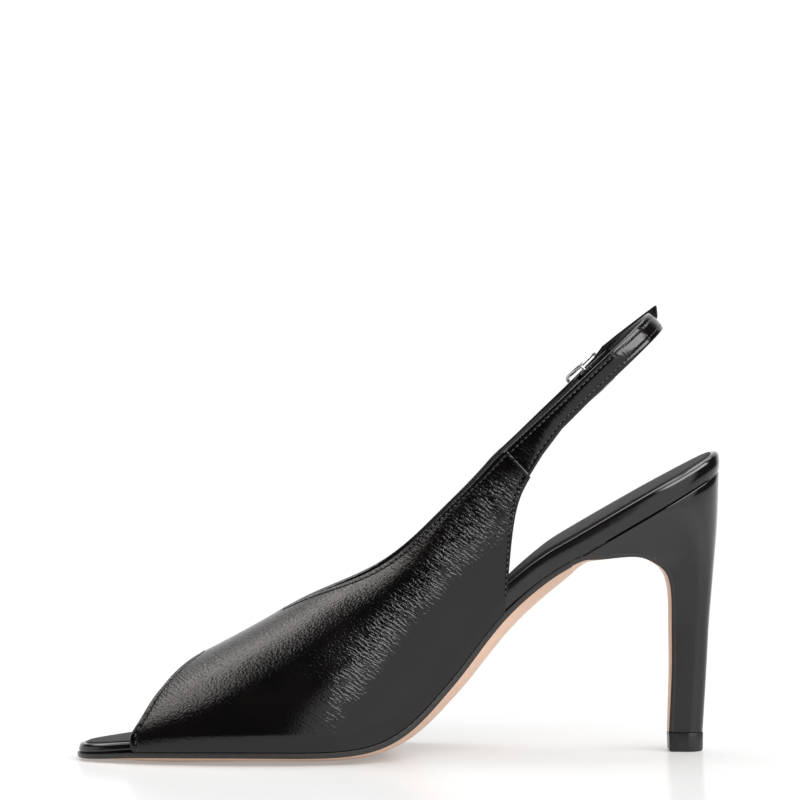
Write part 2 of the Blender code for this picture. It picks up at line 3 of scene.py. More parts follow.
import bmesh
import bpy
import numpy as np
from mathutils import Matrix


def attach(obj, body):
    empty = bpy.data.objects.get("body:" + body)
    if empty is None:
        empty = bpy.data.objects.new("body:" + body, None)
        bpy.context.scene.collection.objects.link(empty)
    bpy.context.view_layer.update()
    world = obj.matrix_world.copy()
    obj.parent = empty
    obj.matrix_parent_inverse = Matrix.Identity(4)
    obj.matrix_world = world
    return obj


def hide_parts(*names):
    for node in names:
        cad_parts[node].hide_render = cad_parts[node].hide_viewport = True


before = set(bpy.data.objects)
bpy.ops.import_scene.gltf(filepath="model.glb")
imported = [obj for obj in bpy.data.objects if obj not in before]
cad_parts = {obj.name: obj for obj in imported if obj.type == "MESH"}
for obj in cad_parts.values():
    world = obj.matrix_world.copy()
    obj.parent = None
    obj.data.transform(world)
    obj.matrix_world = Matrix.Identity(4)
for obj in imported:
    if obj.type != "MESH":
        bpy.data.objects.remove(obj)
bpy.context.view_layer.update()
print("frame loaded:", len(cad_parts), "nodes")

mm = 0.001
boxCentre = np.array([-0.4, 0.24, 0.0])   # middle of the shoe in the tables' own frame, as in the part
medial, lateral = -1, 1
bothSides = (medial, lateral)


def table(columns, rows):
    return dict(zip(columns.split(), np.array(rows, float).T))


# sections under the foot, toe to heel back, all in millimetres
bedTable = table("x half centre edge drop thick welt crown", [
    (-115.6, 0.0, -8.0, 2.9, 0.0, 2.4, 0.8, 0.0),
    (-114.6, 5.0, -8.0, 2.9, 0.0, 2.5, 0.8, 0.1),
    (-111.0, 9.8, -7.8, 3.1, 0.0, 2.6, 0.9, 0.4),
    (-104.0, 14.2, -7.2, 3.6, 0.0, 2.7, 1.3, 1.0),
    (-94.0, 18.8, -6.2, 4.3, 0.0, 2.9, 2.4, 2.4),
    (-80.0, 25.2, -4.2, 4.7, 0.0, 3.4, 2.8, 3.4),
    (-62.0, 31.6, -2.0, 5.0, 0.0, 3.8, 2.8, 3.6),
    (-44.0, 35.2, -0.6, 5.0, 0.0, 4.0, 2.8, 3.6),
    (-26.0, 36.0, 0.4, 5.0, 0.0, 4.2, 2.8, 3.6),
    (-10.0, 34.2, 1.4, 7.0, 0.5, 4.7, 2.8, 3.6),
    (3.0, 31.2, 2.2, 13.9, 2.0, 5.3, 2.8, 3.6),
    (13.6, 28.6, 2.7, 24.5, 3.5, 5.8, 2.6, 3.6),
    (22.0, 26.9, 3.0, 34.3, 4.0, 6.1, 2.3, 3.7),
    (34.3, 25.2, 2.8, 49.6, 3.8, 6.3, 1.6, 4.0),
    (47.0, 24.2, 1.8, 61.3, 2.2, 6.5, 0.6, 4.2),
    (56.0, 24.0, 1.1, 67.6, 0.9, 6.6, 0.2, 3.8),
    (64.0, 24.0, 0.5, 72.0, 0.0, 6.7, 0.0, 3.0),
    (86.0, 24.4, 0.0, 84.54, 0.0, 6.6, 0.0, 0.0),
    (100.0, 22.4, 0.0, 92.52, 0.0, 6.3, 0.0, 0.0),
    (109.0, 17.0, 0.0, 97.65, 0.0, 6.1, 0.0, 0.0),
    (113.8, 9.6, 0.0, 100.39, 0.0, 6.0, 0.0, 0.0),
    (115.2, 0.0, 0.0, 101.2, 0.0, 6.0, 0.0, 0.0),
])
# heel sections from lift to seat
heelTable = table("frontX frontZ frontHalf backX backZ half crown", [
    (97.9, 7.1, 4.7, 108.8, 7.1, 6.0, 0.2),
    (98.3, 14.0, 4.7, 109.3, 14.0, 6.1, 0.4),
    (99.1, 30.0, 4.8, 110.4, 30.0, 6.5, 0.65),
    (99.2, 44.0, 4.8, 111.3, 44.5, 7.2, 0.75),
    (99.2, 54.0, 5.3, 112.3, 56.0, 8.4, 0.75),
    (98.4, 61.5, 6.6, 113.2, 66.0, 10.2, 0.7),
    (96.2, 66.3, 9.2, 114.0, 75.0, 12.8, 0.45),
    (92.6, 69.4, 13.0, 114.6, 83.0, 16.0, 0.25),
    (86.2, 72.3, 17.6, 114.9, 90.0, 19.4, 0.2),
    (78.0, 72.6, 20.8, 115.1, 96.0, 22.3, 0.25),
    (70.0, 72.0, 22.4, 115.2, 99.2, 23.8, 0.9),
    (64.2, 71.5, 23.2, 115.2, 100.7, 24.3, 2.3),
])
# the last above the footbed
lastTable = table("x ridge full", [
    (-104.0, 18.0, 2.0),
    (-91.0, 26.8, 2.0),
    (-82.0, 32.2, 2.0),
    (-72.8, 36.8, 2.0),
    (-60.0, 43.3, 2.0),
    (-45.1, 51.4, 2.0),
    (-30.0, 60.3, 2.05),
    (-14.4, 70.3, 2.15),
    (0.0, 83.2, 2.3),
    (10.0, 95.6, 2.5),
    (20.0, 109.4, 2.7),
    (30.0, 123.6, 3.0),
    (38.0, 136.6, 3.3),
    (46.0, 150.0, 3.5),
])
# pattern lines of the upper, seen from the side
peepEdge = table("x z", [(-94.6, 4.3), (-95.6, 9.6), (-92.6, 15.2), (-88.6, 21.9), (-83.4, 28.3),
                         (-77.8, 33.3), (-72.8, 36.8)])
throatEdge = table("x z", [(-45.1, 51.4), (-35.0, 56.6), (-25.4, 60.7), (-14.4, 65.3), (-5.0, 70.6),
                           (4.0, 77.8), (13.0, 86.3), (22.0, 94.4), (30.3, 102.0), (37.7, 109.7)])
backEdge = table("x z", [(36.9, 53.4), (38.2, 66.9), (39.4, 79.8), (41.7, 92.0), (45.8, 100.6)])
strapTable = table("at width", [(0.0, 12.4), (8.0, 10.2), (19.5, 8.2), (35.0, 7.7), (80.0, 7.7)])
tabTable = table("at y top bottom", [
    (0.3, 25.4, 0.0, 12.35),
    (8.0, 25.5, 0.0, 10.0),
    (19.5, 25.7, -0.2, 7.5),
    (30.0, 25.8, -0.3, 6.8),
    (36.0, 26.0, -0.4, 6.6),
    (41.0, 27.0, -0.5, 6.4),
    (48.0, 27.0, -0.8, 6.2),
    (53.0, 26.3, -1.8, 6.0),
    (60.0, 25.0, -1.3, 5.8),
    (72.0, 21.6, -0.2, 5.4),
    (75.0, 20.6, 0.1, 4.2),
    (77.2, 19.9, 0.4, 1.3),
])
gap = 0.3   # between pieces that touch
pastEnd = 2   # rows added beyond a closed end
curveSteps = 20001   # short steps in which a curve is read off


# cubic spline with free ends through values placed at whole steps
def smoothLine(values, at):
    count = len(values)
    system = np.eye(count)
    bend = np.zeros(count)
    inner = np.arange(1, count - 1)
    system[inner, inner - 1] = 1
    system[inner, inner] = 4
    system[inner, inner + 1] = 1
    bend[inner] = 6 * (values[2:] - 2 * values[1:-1] + values[:-2])
    bend = np.linalg.solve(system, bend)
    k = np.clip(np.floor(at).astype(int), 0, count - 2)
    t = at - k
    s = 1 - t
    return s * values[k] + t * values[k + 1] + ((s**3 - s) * bend[k] + (t**3 - t) * bend[k + 1]) / 6


def mirroredEnds(tab, bothEnds):   # rows past a closed end, reflected, so the end comes out round
    out = {}
    for name, col in tab.items():
        sign = -1 if name == "half" else 1
        tail = [sign * col[-2:-2 - pastEnd:-1]] if bothEnds else []
        out[name] = np.concatenate([sign * col[pastEnd:0:-1], col] + tail)
    return out


def alongRows(tab, at):
    return {name: smoothLine(col, at) for name, col in tab.items()}


def byStation(tab, name, x):   # a column of a table, read where the curve passes x
    steps = np.linspace(0, len(tab["x"]) - 1, curveSteps)
    return np.interp(x, smoothLine(tab["x"], steps), smoothLine(tab[name], steps))


def fade(far, length=1.0):   # straight from 0 to 1 over a length, level outside it
    return np.clip(far / length, 0, 1)


def eased(t):
    return t * t * (3 - 2 * t)


def bell(far, width):
    return np.exp(-(far / width)**2)


def points(x, y, z):
    return np.stack(np.broadcast_arrays(x, y, z), axis=-1)


def unit(v):
    return v / np.maximum(np.linalg.norm(v, axis=-1, keepdims=True), 1e-9)


# joins grids of points into one closed mesh: every cell is two triangles, points within a micron are one
def gridMesh(name, grids, finishes, sharpDegrees=50, marks=None):
    verts = np.concatenate([grid.reshape(-1, 3) for grid, _ in grids])
    cells, slots, start = [], [], 0
    for grid, slot in grids:
        rows, cols = grid.shape[:2]
        index = start + np.arange(rows * cols).reshape(rows, cols)
        quad = np.stack([index[:-1, :-1], index[:-1, 1:], index[1:, 1:], index[1:, :-1]], -1).reshape(-1, 4)
        cells += [quad[:, [0, 1, 2]], quad[:, [0, 2, 3]]]
        slots += [np.full(2 * len(quad), slot)]
        start += rows * cols
    _, first, same = np.unique(np.round(verts, 3), axis=0, return_index=True, return_inverse=True)
    tris = same.reshape(-1)[np.concatenate(cells)]
    slots = np.concatenate(slots)
    real = (tris[:, 0] != tris[:, 1]) & (tris[:, 1] != tris[:, 2]) & (tris[:, 2] != tris[:, 0])
    tris, slots = tris[real], slots[real]
    mesh = bpy.data.meshes.new(name)
    mesh.from_pydata(((verts[first] - boxCentre) * mm).tolist(), [], tris.tolist())
    for finish in finishes:
        mesh.materials.append(finish)
    mesh.polygons.foreach_set("material_index", slots.astype(np.int32))
    for mark, values in (marks or {}).items():
        marked = mesh.attributes.new(mark, 'FLOAT', 'POINT')
        marked.data.foreach_set("value", values[first].astype(np.float32))
    work = bmesh.new()
    work.from_mesh(mesh)
    bmesh.ops.recalc_face_normals(work, faces=work.faces)
    work.to_mesh(mesh)
    work.free()
    mesh.shade_smooth()
    mesh.set_sharp_from_angle(angle=math.radians(sharpDegrees))
    piece = bpy.data.objects.new(name, mesh)
    bpy.context.scene.collection.objects.link(piece)
    return piece


def place(piece, slot, *nodes):
    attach(piece, "root")
    if nodes:
        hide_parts(*nodes)
    print("made", piece.name, len(piece.data.polygons), "faces")


# shader maths as Python: a wire carries a socket, and operators add Math nodes
class Wire:
    def __init__(self, tree, socket):
        self.tree = tree
        self.socket = socket

    def maths(self, operation, *values):
        return node(self.tree, "Math", {"operation": operation}, dict(enumerate(values)))

    def __add__(self, other):
        return self.maths("ADD", self, other)

    def __sub__(self, other):
        return self.maths("SUBTRACT", self, other)

    def __rsub__(self, other):
        return self.maths("SUBTRACT", other, self)

    def __mul__(self, other):
        return self.maths("MULTIPLY", self, other)

    __radd__ = __add__
    __rmul__ = __mul__

    def ramp(self, low, high):   # straight from 0 to 1
        return node(self.tree, "MapRange", None, {"Value": self, "From Min": low, "From Max": high})

    def between(self, low, high):   # soft from 0 to 1
        return node(self.tree, "MapRange", {"interpolation_type": "SMOOTHSTEP"},
                    {"Value": self, "From Min": low, "From Max": high})

    def within(self, rise, fall):
        return self.between(*rise) * (1 - self.between(*fall))


def node(tree, kind, settings=None, sockets=None, out=0):
    made = tree.nodes.new("ShaderNode" + kind)
    for key, value in (settings or {}).items():
        setattr(made, key, value)
    for key, value in (sockets or {}).items():
        if isinstance(value, Wire):
            tree.links.new(value.socket, made.inputs[key])
        else:
            made.inputs[key].default_value = value
    return Wire(tree, made.outputs[out]) if made.outputs else None


def newFinish(name, **fixed):   # a material, its nodes and a way to feed its shader's sockets
    mat = bpy.data.materials.new(name)
    mat.use_nodes = True
    shader = mat.node_tree.nodes["Principled BSDF"]
    for key, value in fixed.items():
        shader.inputs[key.replace("_", " ")].default_value = value

    def feed(socket, wire):
        mat.node_tree.links.new(wire.socket, shader.inputs[socket])
    return mat, mat.node_tree, feed


def objectPlace(tree, turn=(0, 0, 0), scale=(1, 1, 1)):
    place3d = node(tree, "TexCoord", out="Object")
    return node(tree, "Mapping", {"vector_type": "TEXTURE"},
                {"Vector": place3d, "Rotation": turn, "Scale": scale})


def noise(tree, vector, scale, detail=2.0):
    return node(tree, "TexNoise", None, {"Vector": vector, "Scale": scale, "Detail": detail}, "Fac")


def pores(tree, vector, scale):
    return node(tree, "TexVoronoi", {"feature": "SMOOTH_F1"}, {"Vector": vector, "Scale": scale})


def mixColours(tree, factor, one, two):
    return node(tree, "Mix", {"data_type": "RGBA"}, {0: factor, 6: one, 7: two}, 2)


def bumped(tree, height, distance):
    return node(tree, "Bump", None, {"Height": height, "Distance": distance, "Strength": 1.0})


leather = {"black": (0.0012, 0.0011, 0.0012, 1), "brownBlack": (0.0024, 0.0019, 0.0018, 1), "clouds": 60.0,
           "cloudEdges": (0.3, 0.7), "gloss": 0.07, "glossSpread": 0.08, "shine": 0.42, "depth": 0.00022,
           "fibres": 900.0, "fibreDepth": 0.03, "pores": 1100.0, "poreDepth": 0.035,
           "crinkleTurn": math.radians(35), "crinkleLines": 220.0, "crinkleWander": 6.0, "crinkleDepth": 0.6,
           "crinkleCrest": 0.45, "crinkleStretch": 2.0, "crinkleBreaks": 2.2, "crinkleLengths": (0.36, 0.54),
           "fineTurn": 0.75, "fineLines": 1.7, "fineCrest": 0.5, "fineShare": 0.42, "strapCrinkle": 0.1,
           "grainTurn": math.radians(-20), "grainSize": 1500.0, "grainStretch": 1.5, "grainDepth": 0.8}


# crinkles: the narrow crests of wandering parallel lines, cut into short lengths by a drawn out noise
def crinkleLines(tree, turn, lines, crest):
    slanted = objectPlace(tree, (0, turn, 0))
    bands = node(tree, "TexWave", {"bands_direction": "Z", "wave_profile": "TRI"},
                 {"Vector": slanted, "Scale": lines, "Distortion": leather["crinkleWander"], "Detail": 3.0,
                  "Detail Scale": 1.3, "Detail Roughness": 0.6}, "Fac")
    drawnOut = objectPlace(tree, (0, turn, 0), (leather["crinkleStretch"], 1, 1))
    lengths = noise(tree, drawnOut, leather["crinkleBreaks"] * lines)
    return bands.ramp(crest, 1.0) * lengths.between(*leather["crinkleLengths"])


# glossy grained leather: pores from cells, coarse and fine crinkles, and on the upper a dry grain from noise;
# the upper's own marks say how much of each shows
def grainedLeather(name, marked):
    mat, tree, feed = newFinish(name, Specular_IOR_Level=leather["shine"])
    flat = objectPlace(tree)
    cloud = noise(tree, flat, leather["clouds"]).between(*leather["cloudEdges"])
    feed("Base Color", mixColours(tree, cloud, leather["black"], leather["brownBlack"]))
    fibre = noise(tree, flat, leather["fibres"], 3.0)
    feed("Roughness", leather["gloss"] + leather["glossSpread"] * fibre)
    turn, lines = leather["crinkleTurn"], leather["crinkleLines"]
    fine = crinkleLines(tree, turn * leather["fineTurn"], lines * leather["fineLines"], leather["fineCrest"])
    ridges = crinkleLines(tree, turn, lines, leather["crinkleCrest"]) + leather["fineShare"] * fine
    height = leather["poreDepth"] * pores(tree, flat, leather["pores"]) + leather["fibreDepth"] * fibre
    if marked:
        amount = node(tree, "Attribute", {"attribute_name": "crinkle"}, out="Fac")
        dry = node(tree, "Attribute", {"attribute_name": "grain"}, out="Fac")
        slanted = objectPlace(tree, (0, leather["grainTurn"], 0), (leather["grainStretch"], 1, 1))
        grain = noise(tree, slanted, leather["grainSize"])
        height = height + ridges * amount * leather["crinkleDepth"] + grain * dry * leather["grainDepth"]
    else:
        height = height + leather["strapCrinkle"] * ridges
    feed("Normal", bumped(tree, height, leather["depth"]))
    return mat


plainLooks = {
    "smoothCover": {"tones": ((0.0022, 0.0021, 0.0023, 1), (0.0036, 0.0033, 0.0034, 1)), "patches": 25.0,
                    "rough": 0.1, "roughSpread": 0.05, "roughPatches": 400.0, "shine": 0.58,
                    "bumps": 140.0, "bumpDetail": 3.0, "depth": 0.00006},
    "liningLeather": {"tones": ((0.010, 0.010, 0.010, 1), (0.019, 0.018, 0.018, 1)), "patches": 120.0,
                      "rough": 0.42, "roughSpread": 0.2, "roughPatches": 700.0,
                      "bumps": 1200.0, "bumpDetail": 3.0, "depth": 0.0001},
    "sockLeather": {"tones": ((0.006, 0.006, 0.006, 1), (0.012, 0.011, 0.011, 1)), "patches": 80.0,
                    "rough": 0.5, "roughSpread": 0.2, "roughPatches": 500.0, "shine": 0.16,
                    "bumps": 900.0, "bumpDetail": 2.0, "depth": 0.00012, "pores": 1300.0, "bumpShare": 0.5},
    "edgePaint": {"tones": ((0.007, 0.006, 0.006, 1), (0.016, 0.013, 0.012, 1)), "patches": 300.0,
                  "rough": 0.24, "roughSpread": 0.18, "roughPatches": 700.0,
                  "bumps": 600.0, "bumpDetail": 3.0, "depth": 0.00012},
    "liftRubber": {"tones": ((0.004, 0.004, 0.004, 1), (0.008, 0.0075, 0.0075, 1)), "patches": 250.0,
                   "rough": 0.28, "roughSpread": 0.15, "roughPatches": 900.0,
                   "bumps": 1500.0, "bumpDetail": 2.0, "depth": 0.00005},
    "polishedSilver": {"tones": ((0.50, 0.49, 0.49, 1), (0.40, 0.39, 0.39, 1)), "patches": 500.0,
                       "rough": 0.2, "roughSpread": 0.12, "roughPatches": 900.0, "metal": 1.0},
}


# plain finish: two tones mixed by a noise, a roughness spread by a second one and the bumps of a third, which
# lie between pores where it has them
def plainFinish(name):
    look = plainLooks[name]
    shine, metal = look.get("shine", 0.5), look.get("metal", 0.0)
    mat, tree, feed = newFinish(name, Metallic=metal, Specular_IOR_Level=shine)
    flat = objectPlace(tree)
    feed("Base Color", mixColours(tree, noise(tree, flat, look["patches"]), *look["tones"]))
    uneven = noise(tree, flat, look["roughPatches"])
    feed("Roughness", look["rough"] + look["roughSpread"] * uneven)
    if "bumps" in look:
        height = noise(tree, flat, look["bumps"], look["bumpDetail"])
        if "pores" in look:
            height = pores(tree, flat, look["pores"]) + look["bumpShare"] * height
        feed("Normal", bumped(tree, height, look["depth"]))
    return mat


soleLook = {"tones": ((0.71, 0.47, 0.335, 1), (0.65, 0.42, 0.29, 1)), "fibre": (0.46, 0.28, 0.19, 1),
            "clouds": 30.0, "cloudEdges": (0.3, 0.7), "fibres": 900.0, "fibreStretch": 6.0,
            "fibreShare": 0.25, "rough": 0.38, "roughSpread": 0.15, "depth": 0.00008}


def soleLeather():   # tan with soft clouds and long darker fibres
    mat, tree, feed = newFinish("soleLeather")
    cloud = noise(tree, objectPlace(tree), soleLook["clouds"], 4.0).between(*soleLook["cloudEdges"])
    fibre = noise(tree, objectPlace(tree, scale=(soleLook["fibreStretch"], 1, 1)), soleLook["fibres"], 3.0)
    tan = mixColours(tree, cloud, *soleLook["tones"])
    feed("Base Color", mixColours(tree, soleLook["fibreShare"] * fibre, tan, soleLook["fibre"]))
    feed("Roughness", soleLook["rough"] + soleLook["roughSpread"] * fibre)
    feed("Normal", bumped(tree, fibre, soleLook["depth"]))
    return mat


threadLook = {"tones": ((0.008, 0.008, 0.008, 1), (0.02, 0.02, 0.02, 1)), "twists": 900.0, "rough": 0.32,
              "depth": 0.00008}


def twistedThread():   # slanted waves for the twist
    mat, tree, feed = newFinish("thread", Roughness=threadLook["rough"])
    twist = node(tree, "TexWave", {"bands_direction": "DIAGONAL"},
                 {"Vector": objectPlace(tree), "Scale": threadLook["twists"]})
    feed("Base Color", mixColours(tree, twist, *threadLook["tones"]))
    feed("Normal", bumped(tree, twist, threadLook["depth"]))
    return mat


blackLeather = grainedLeather("grainedLeather", True)
strapLeather = grainedLeather("strapLeather", False)
coverLeather = plainFinish("smoothCover")
lining = plainFinish("liningLeather")
threadBlack = twistedThread()
# stitch holes: dull near black with almost no reflection, painted shade standing in for the dark inside each
# hole
pinholePaintedShade = newFinish("pinholePaintedShade", Base_Color=(0.001, 0.001, 0.001, 1), Roughness=0.9,
                         Specular_IOR_Level=0.05)[0]
silver = plainFinish("polishedSilver")
edgeBlack = plainFinish("edgePaint")
print("finishes ready")

uprightFrom = 66.0   # from here to the heel back the footbed's sections turn upright
levelLimit = 0.5   # a path that climbs more steeply than this cosine is the flap on the heel


# a row of sections under the foot, with outlines moved outwards in plan and up along the path's normal
class Footline:
    def __init__(self, rows, roundBack):
        self.rows = rows
        self.roundBack = roundBack
        self.tx, self.tz = self.direction(rows["x"], rows["edge"])
        upright = fade(rows["x"] - uprightFrom, bedTable["x"][-1] - uprightFrom) * roundBack
        self.nx = -self.tz * (1 - upright)
        self.nz = self.tx * (1 - upright) + upright / np.maximum(self.tx, levelLimit)

    def direction(self, a, b):
        da, db = np.gradient(a), np.gradient(b)
        size = np.hypot(da, db)
        return da / size, db / size

    def rim(self, side, out, height):
        r = self.rows
        y = r["centre"] + side * r["half"]
        gx, gy = self.direction(r["x"], y)
        nx, ny = -side * gy, side * gx
        nx[0], ny[0] = -1, 0
        if self.roundBack:
            nx[-1], ny[-1] = 1, 0
        level = np.abs(self.tx) > levelLimit
        nx = np.where(level, nx, 0)
        ny = np.where(level, ny, side)
        slope = np.where(level, self.tz / np.where(level, self.tx, 1), 0)
        z = r["edge"] - r["drop"] * (1 + side) / 2 + slope * nx * out
        return points(r["x"] + nx * out + self.nx * height, y + ny * out, z + self.nz * height)

    def walls(self, layers, slot=0):   # both sides, each layer a distance out and a height
        return [(np.stack([self.rim(side, *layer) for layer in layers]), slot) for side in bothSides]

    def cap(self, out, height, columns, crown=0.0, power=2.0):
        one, two = self.rim(medial, out, height), self.rim(lateral, out, height)
        w = np.linspace(0, 1, columns + 1)[None, :, None]
        rise = (1 - np.abs(2 * w - 1)**power) * np.reshape(crown * np.ones(len(one)), (-1, 1, 1))
        up = points(self.nx, 0 * self.nx, self.nz)[:, None]
        return one[:, None] * (1 - w) + two[:, None] * w + rise * up


footbed = {"steps": 420, "across": 24, "underAcross": 4, "bulge": 0.45, "bulgeFrom": 0.1, "bulgeSpan": 0.75,
           "drawnIn": 0.14, "sideSteps": 9, "rimSteps": 9,
           "rim": table("x round pad", [(-116, 1.5, 0.6), (-96, 1.4, 0.5), (-70, 0.7, 0), (-20, 0.7, 0),
                                        (30, 0.7, 0), (65, 1.1, 0.1), (95, 2.2, 0.5), (116, 2.7, 0.9)])}


def footbedLine():
    last = len(bedTable["x"]) - 1
    at = pastEnd + np.linspace(0, last, footbed["steps"] + 1)
    return Footline(alongRows(mirroredEnds(bedTable, True), at), True)


def paddedThick(bed):
    return bed.rows["thick"] + byStation(footbed["rim"], "pad", bed.rows["x"])


# wrapped footbed: sides bulge as a sine, and the rim turns in on a quarter round that widens to toe and heel
def makeFootbed():
    bed = footbedLine()
    thick = paddedThick(bed)
    rim = byStation(footbed["rim"], "round", bed.rows["x"])
    layers = []
    for t in np.linspace(0, 1, footbed["sideSteps"]):
        bulge = footbed["bulge"] * math.sin(math.pi * (footbed["bulgeFrom"] + footbed["bulgeSpan"] * t))
        layers.append((bulge - footbed["drawnIn"] * (1 - t), t * (thick - rim)))
    edgeOut = layers[-1][0]
    for turn in np.linspace(0, math.pi / 2, footbed["rimSteps"])[1:]:
        layers.append((edgeOut + rim * (math.cos(turn) - 1), thick + rim * (math.sin(turn) - 1)))
    grids = [(bed.cap(*layers[0], footbed["underAcross"]), 0), (bed.cap(*layers[-1], footbed["across"]), 0)]
    place(gridMesh("wrappedFootbed", grids + bed.walls(layers), [coverLeather]), "footbed_wrap", "footbed")


sock = {"thick": 0.8, "round": 0.4, "roundSteps": 5, "clear": 0.02,
        "edge": table("x inset sink padding", [
            (-116, 2.2, 0.65, 0), (-96, 2.1, 0.6, 0.3), (-70, 1.6, 0, 0), (-20, 1.6, 0, 0), (30, 1.6, 0, 0.2),
            (65, 1.8, 0.1, 0.8), (95, 2.4, 0.45, 0.8), (116, 2.8, 0.65, 0.0)])}


# insole sock: a thin sheet on the footbed, rounded along its cut edge and padded as a parabola under the heel
def makeSock():
    bed = footbedLine()
    edge = {name: byStation(sock["edge"], name, bed.rows["x"]) for name in ("inset", "sink", "padding")}
    low = paddedThick(bed) + sock["clear"]
    high = paddedThick(bed) + gap + sock["thick"] - edge["sink"]
    layers = [(-edge["inset"], low)]
    for turn in np.linspace(0, math.pi / 2, sock["roundSteps"]):
        out = -edge["inset"] - sock["round"] * (1 - math.cos(turn))
        layers.append((out, high - sock["round"] * (1 - math.sin(turn))))
    grids = [(bed.cap(*layers[0], footbed["underAcross"]), 0)]
    grids += [(bed.cap(*layers[-1], footbed["across"], edge["padding"]), 0)]
    grids += bed.walls(layers)
    place(gridMesh("insoleSock", grids, [plainFinish("sockLeather")]), "sock_leather", "insole")


outsole = {"bedRows": 16, "stepsPerRow": 14, "across": 40, "bevel": 0.25, "flapThick": 1.6, "flapGap": 0.05,
           "flapFrom": 60.0, "crownPower": 2.6, "edgeSteps": 5, "edgeSwell": 0.12, "sharp": 40,
           "edge": table("row thick", [(0, 1.5), (4, 1.8), (9, 2.0), (15, 1.8)])}


def soleRows():   # the footbed's rows as far as the heel, then the heel's front from seat to lift
    front = {name: col[:outsole["bedRows"]] for name, col in bedTable.items()}
    edge = outsole["edge"]
    front["thick"] = np.interp(np.arange(outsole["bedRows"]), edge["row"], edge["thick"])
    none = np.zeros(len(heelTable["half"]))
    rest = {"x": heelTable["frontX"][::-1], "half": heelTable["frontHalf"][::-1], "centre": none,
            "edge": heelTable["frontZ"][::-1], "drop": none, "welt": none,
            "crown": heelTable["crown"][::-1], "thick": outsole["flapThick"] + none}
    tab = {name: np.concatenate([front[name], rest[name]]) for name in rest}
    last = len(tab["x"]) - 1
    at = pastEnd + np.linspace(0, last, outsole["stepsPerRow"] * last + 1)
    return alongRows(mirroredEnds(tab, False), at)


# outsole: flat top, a painted edge that leans in, and a bottom crowned as a power curve and flat on the floor
def makeOutsole():
    sole = Footline(soleRows(), False)
    rows = sole.rows
    top = -np.where(rows["x"] < outsole["flapFrom"], gap, outsole["flapGap"])
    low = top - rows["thick"]
    lowOut = rows["welt"] - outsole["bevel"]
    bottom = sole.cap(lowOut, low, outsole["across"], -rows["crown"], outsole["crownPower"])
    bottom[..., 2] = np.maximum(bottom[..., 2], 0)
    sheet = sole.cap(rows["welt"], top, outsole["across"])
    grids = [(bottom, 0), (sheet, 1), (np.stack([sheet[-1], bottom[-1]]), 1)]
    layers = []
    for t in np.linspace(0, 1, outsole["edgeSteps"]):
        swell = outsole["edgeSwell"] * math.sin(math.pi * t)
        layers.append((rows["welt"] - outsole["bevel"] * t + swell, top - rows["thick"] * t))
    finishes = [soleLeather(), edgeBlack]
    grids += sole.walls(layers, 1)
    place(gridMesh("leatherOutsole", grids, finishes, outsole["sharp"]), "sole_leather", "outsole")


heel = {"rows": 180, "widest": 0.42, "crease": 0.6, "round": 2.4, "sideSteps": 56, "softness": 0.22,
        "turnIn": 0.4, "turnRows": 5}


# heel section: the soft minimum of a straight side, rising from the breast, and a superellipse round the back
def heelSections(rows, softness):
    widest = heel["widest"]
    straight = np.linspace(0, widest, heel["sideSteps"] // 2)[:-1]
    curved = widest + (1 - widest) * np.sin(np.linspace(0, math.pi / 2, heel["sideSteps"]))
    shares = np.concatenate([straight, curved])[None]
    col = {name: values[:, None] for name, values in rows.items()}
    rising = col["frontHalf"] + (col["half"] - col["frontHalf"]) * shares / heel["crease"]
    past = fade(shares - widest, 1 - widest)
    back = col["half"] * (1 - past**heel["round"])**(1 / heel["round"])
    low, high = np.minimum(rising, back), np.maximum(rising, back)
    y = np.maximum(low - softness * np.log1p(np.exp((low - high) / softness)), 0)
    y[:, -1] = 0
    x = col["frontX"] + shares * (col["backX"] - col["frontX"])
    return points(x, y, col["frontZ"] + shares * (col["backZ"] - col["frontZ"]))


def heelGrids(sections):   # both sides, the flat front and the two ends
    mirror = sections * (1, -1, 1)
    grids = [(sections, 0), (mirror, 0), (np.stack([sections[:, 0], mirror[:, 0]], axis=1), 0)]
    return grids + [(np.stack([sections[end], mirror[end]]), 0) for end in (0, -1)]


# covered heel: its sections carried from lift to seat, drawn in as a square over the last rows
def makeHeel():
    rows = alongRows(heelTable, np.linspace(0, len(heelTable["half"]) - 1, heel["rows"]))
    fromTop = np.arange(heel["rows"]) - heel["rows"] + 1
    turnIn = heel["turnIn"] * fade(fromTop + heel["turnRows"], heel["turnRows"])**2
    rows["half"] = rows["half"] - turnIn
    rows["frontHalf"] = rows["frontHalf"] - turnIn
    grids = heelGrids(heelSections(rows, heel["softness"]))
    place(gridMesh("coveredHeel", grids, [coverLeather]), "heel_cover", "heel")


topPiece = {"forward": 1.5, "softness": 0.06, "sharp": 30,
            "levels": table("z grow", [(0.0, -0.5), (0.25, -0.2), (0.6, 0.0), (6.5, 0.15), (6.72, 0.08),
                                       (6.8, -0.1)])}


# top piece: the heel's lowest section repeated at a few heights, grown or drawn in at each
def makeTopPiece():
    height, grow = topPiece["levels"]["z"], topPiece["levels"]["grow"]
    rows = {name: np.repeat(col[0], len(height)) for name, col in heelTable.items()}
    rows["frontX"] = rows["frontX"] - topPiece["forward"] - grow
    rows["backX"] = rows["backX"] + grow
    rows["frontZ"] = rows["backZ"] = height
    rows["frontHalf"] = rows["frontHalf"] + grow
    rows["half"] = rows["half"] + grow
    grids = heelGrids(heelSections(rows, topPiece["softness"]))
    finishes = [plainFinish("liftRubber")]
    place(gridMesh("heelTopPiece", grids, finishes, topPiece["sharp"]), "lift_rubber", "heel_lift")


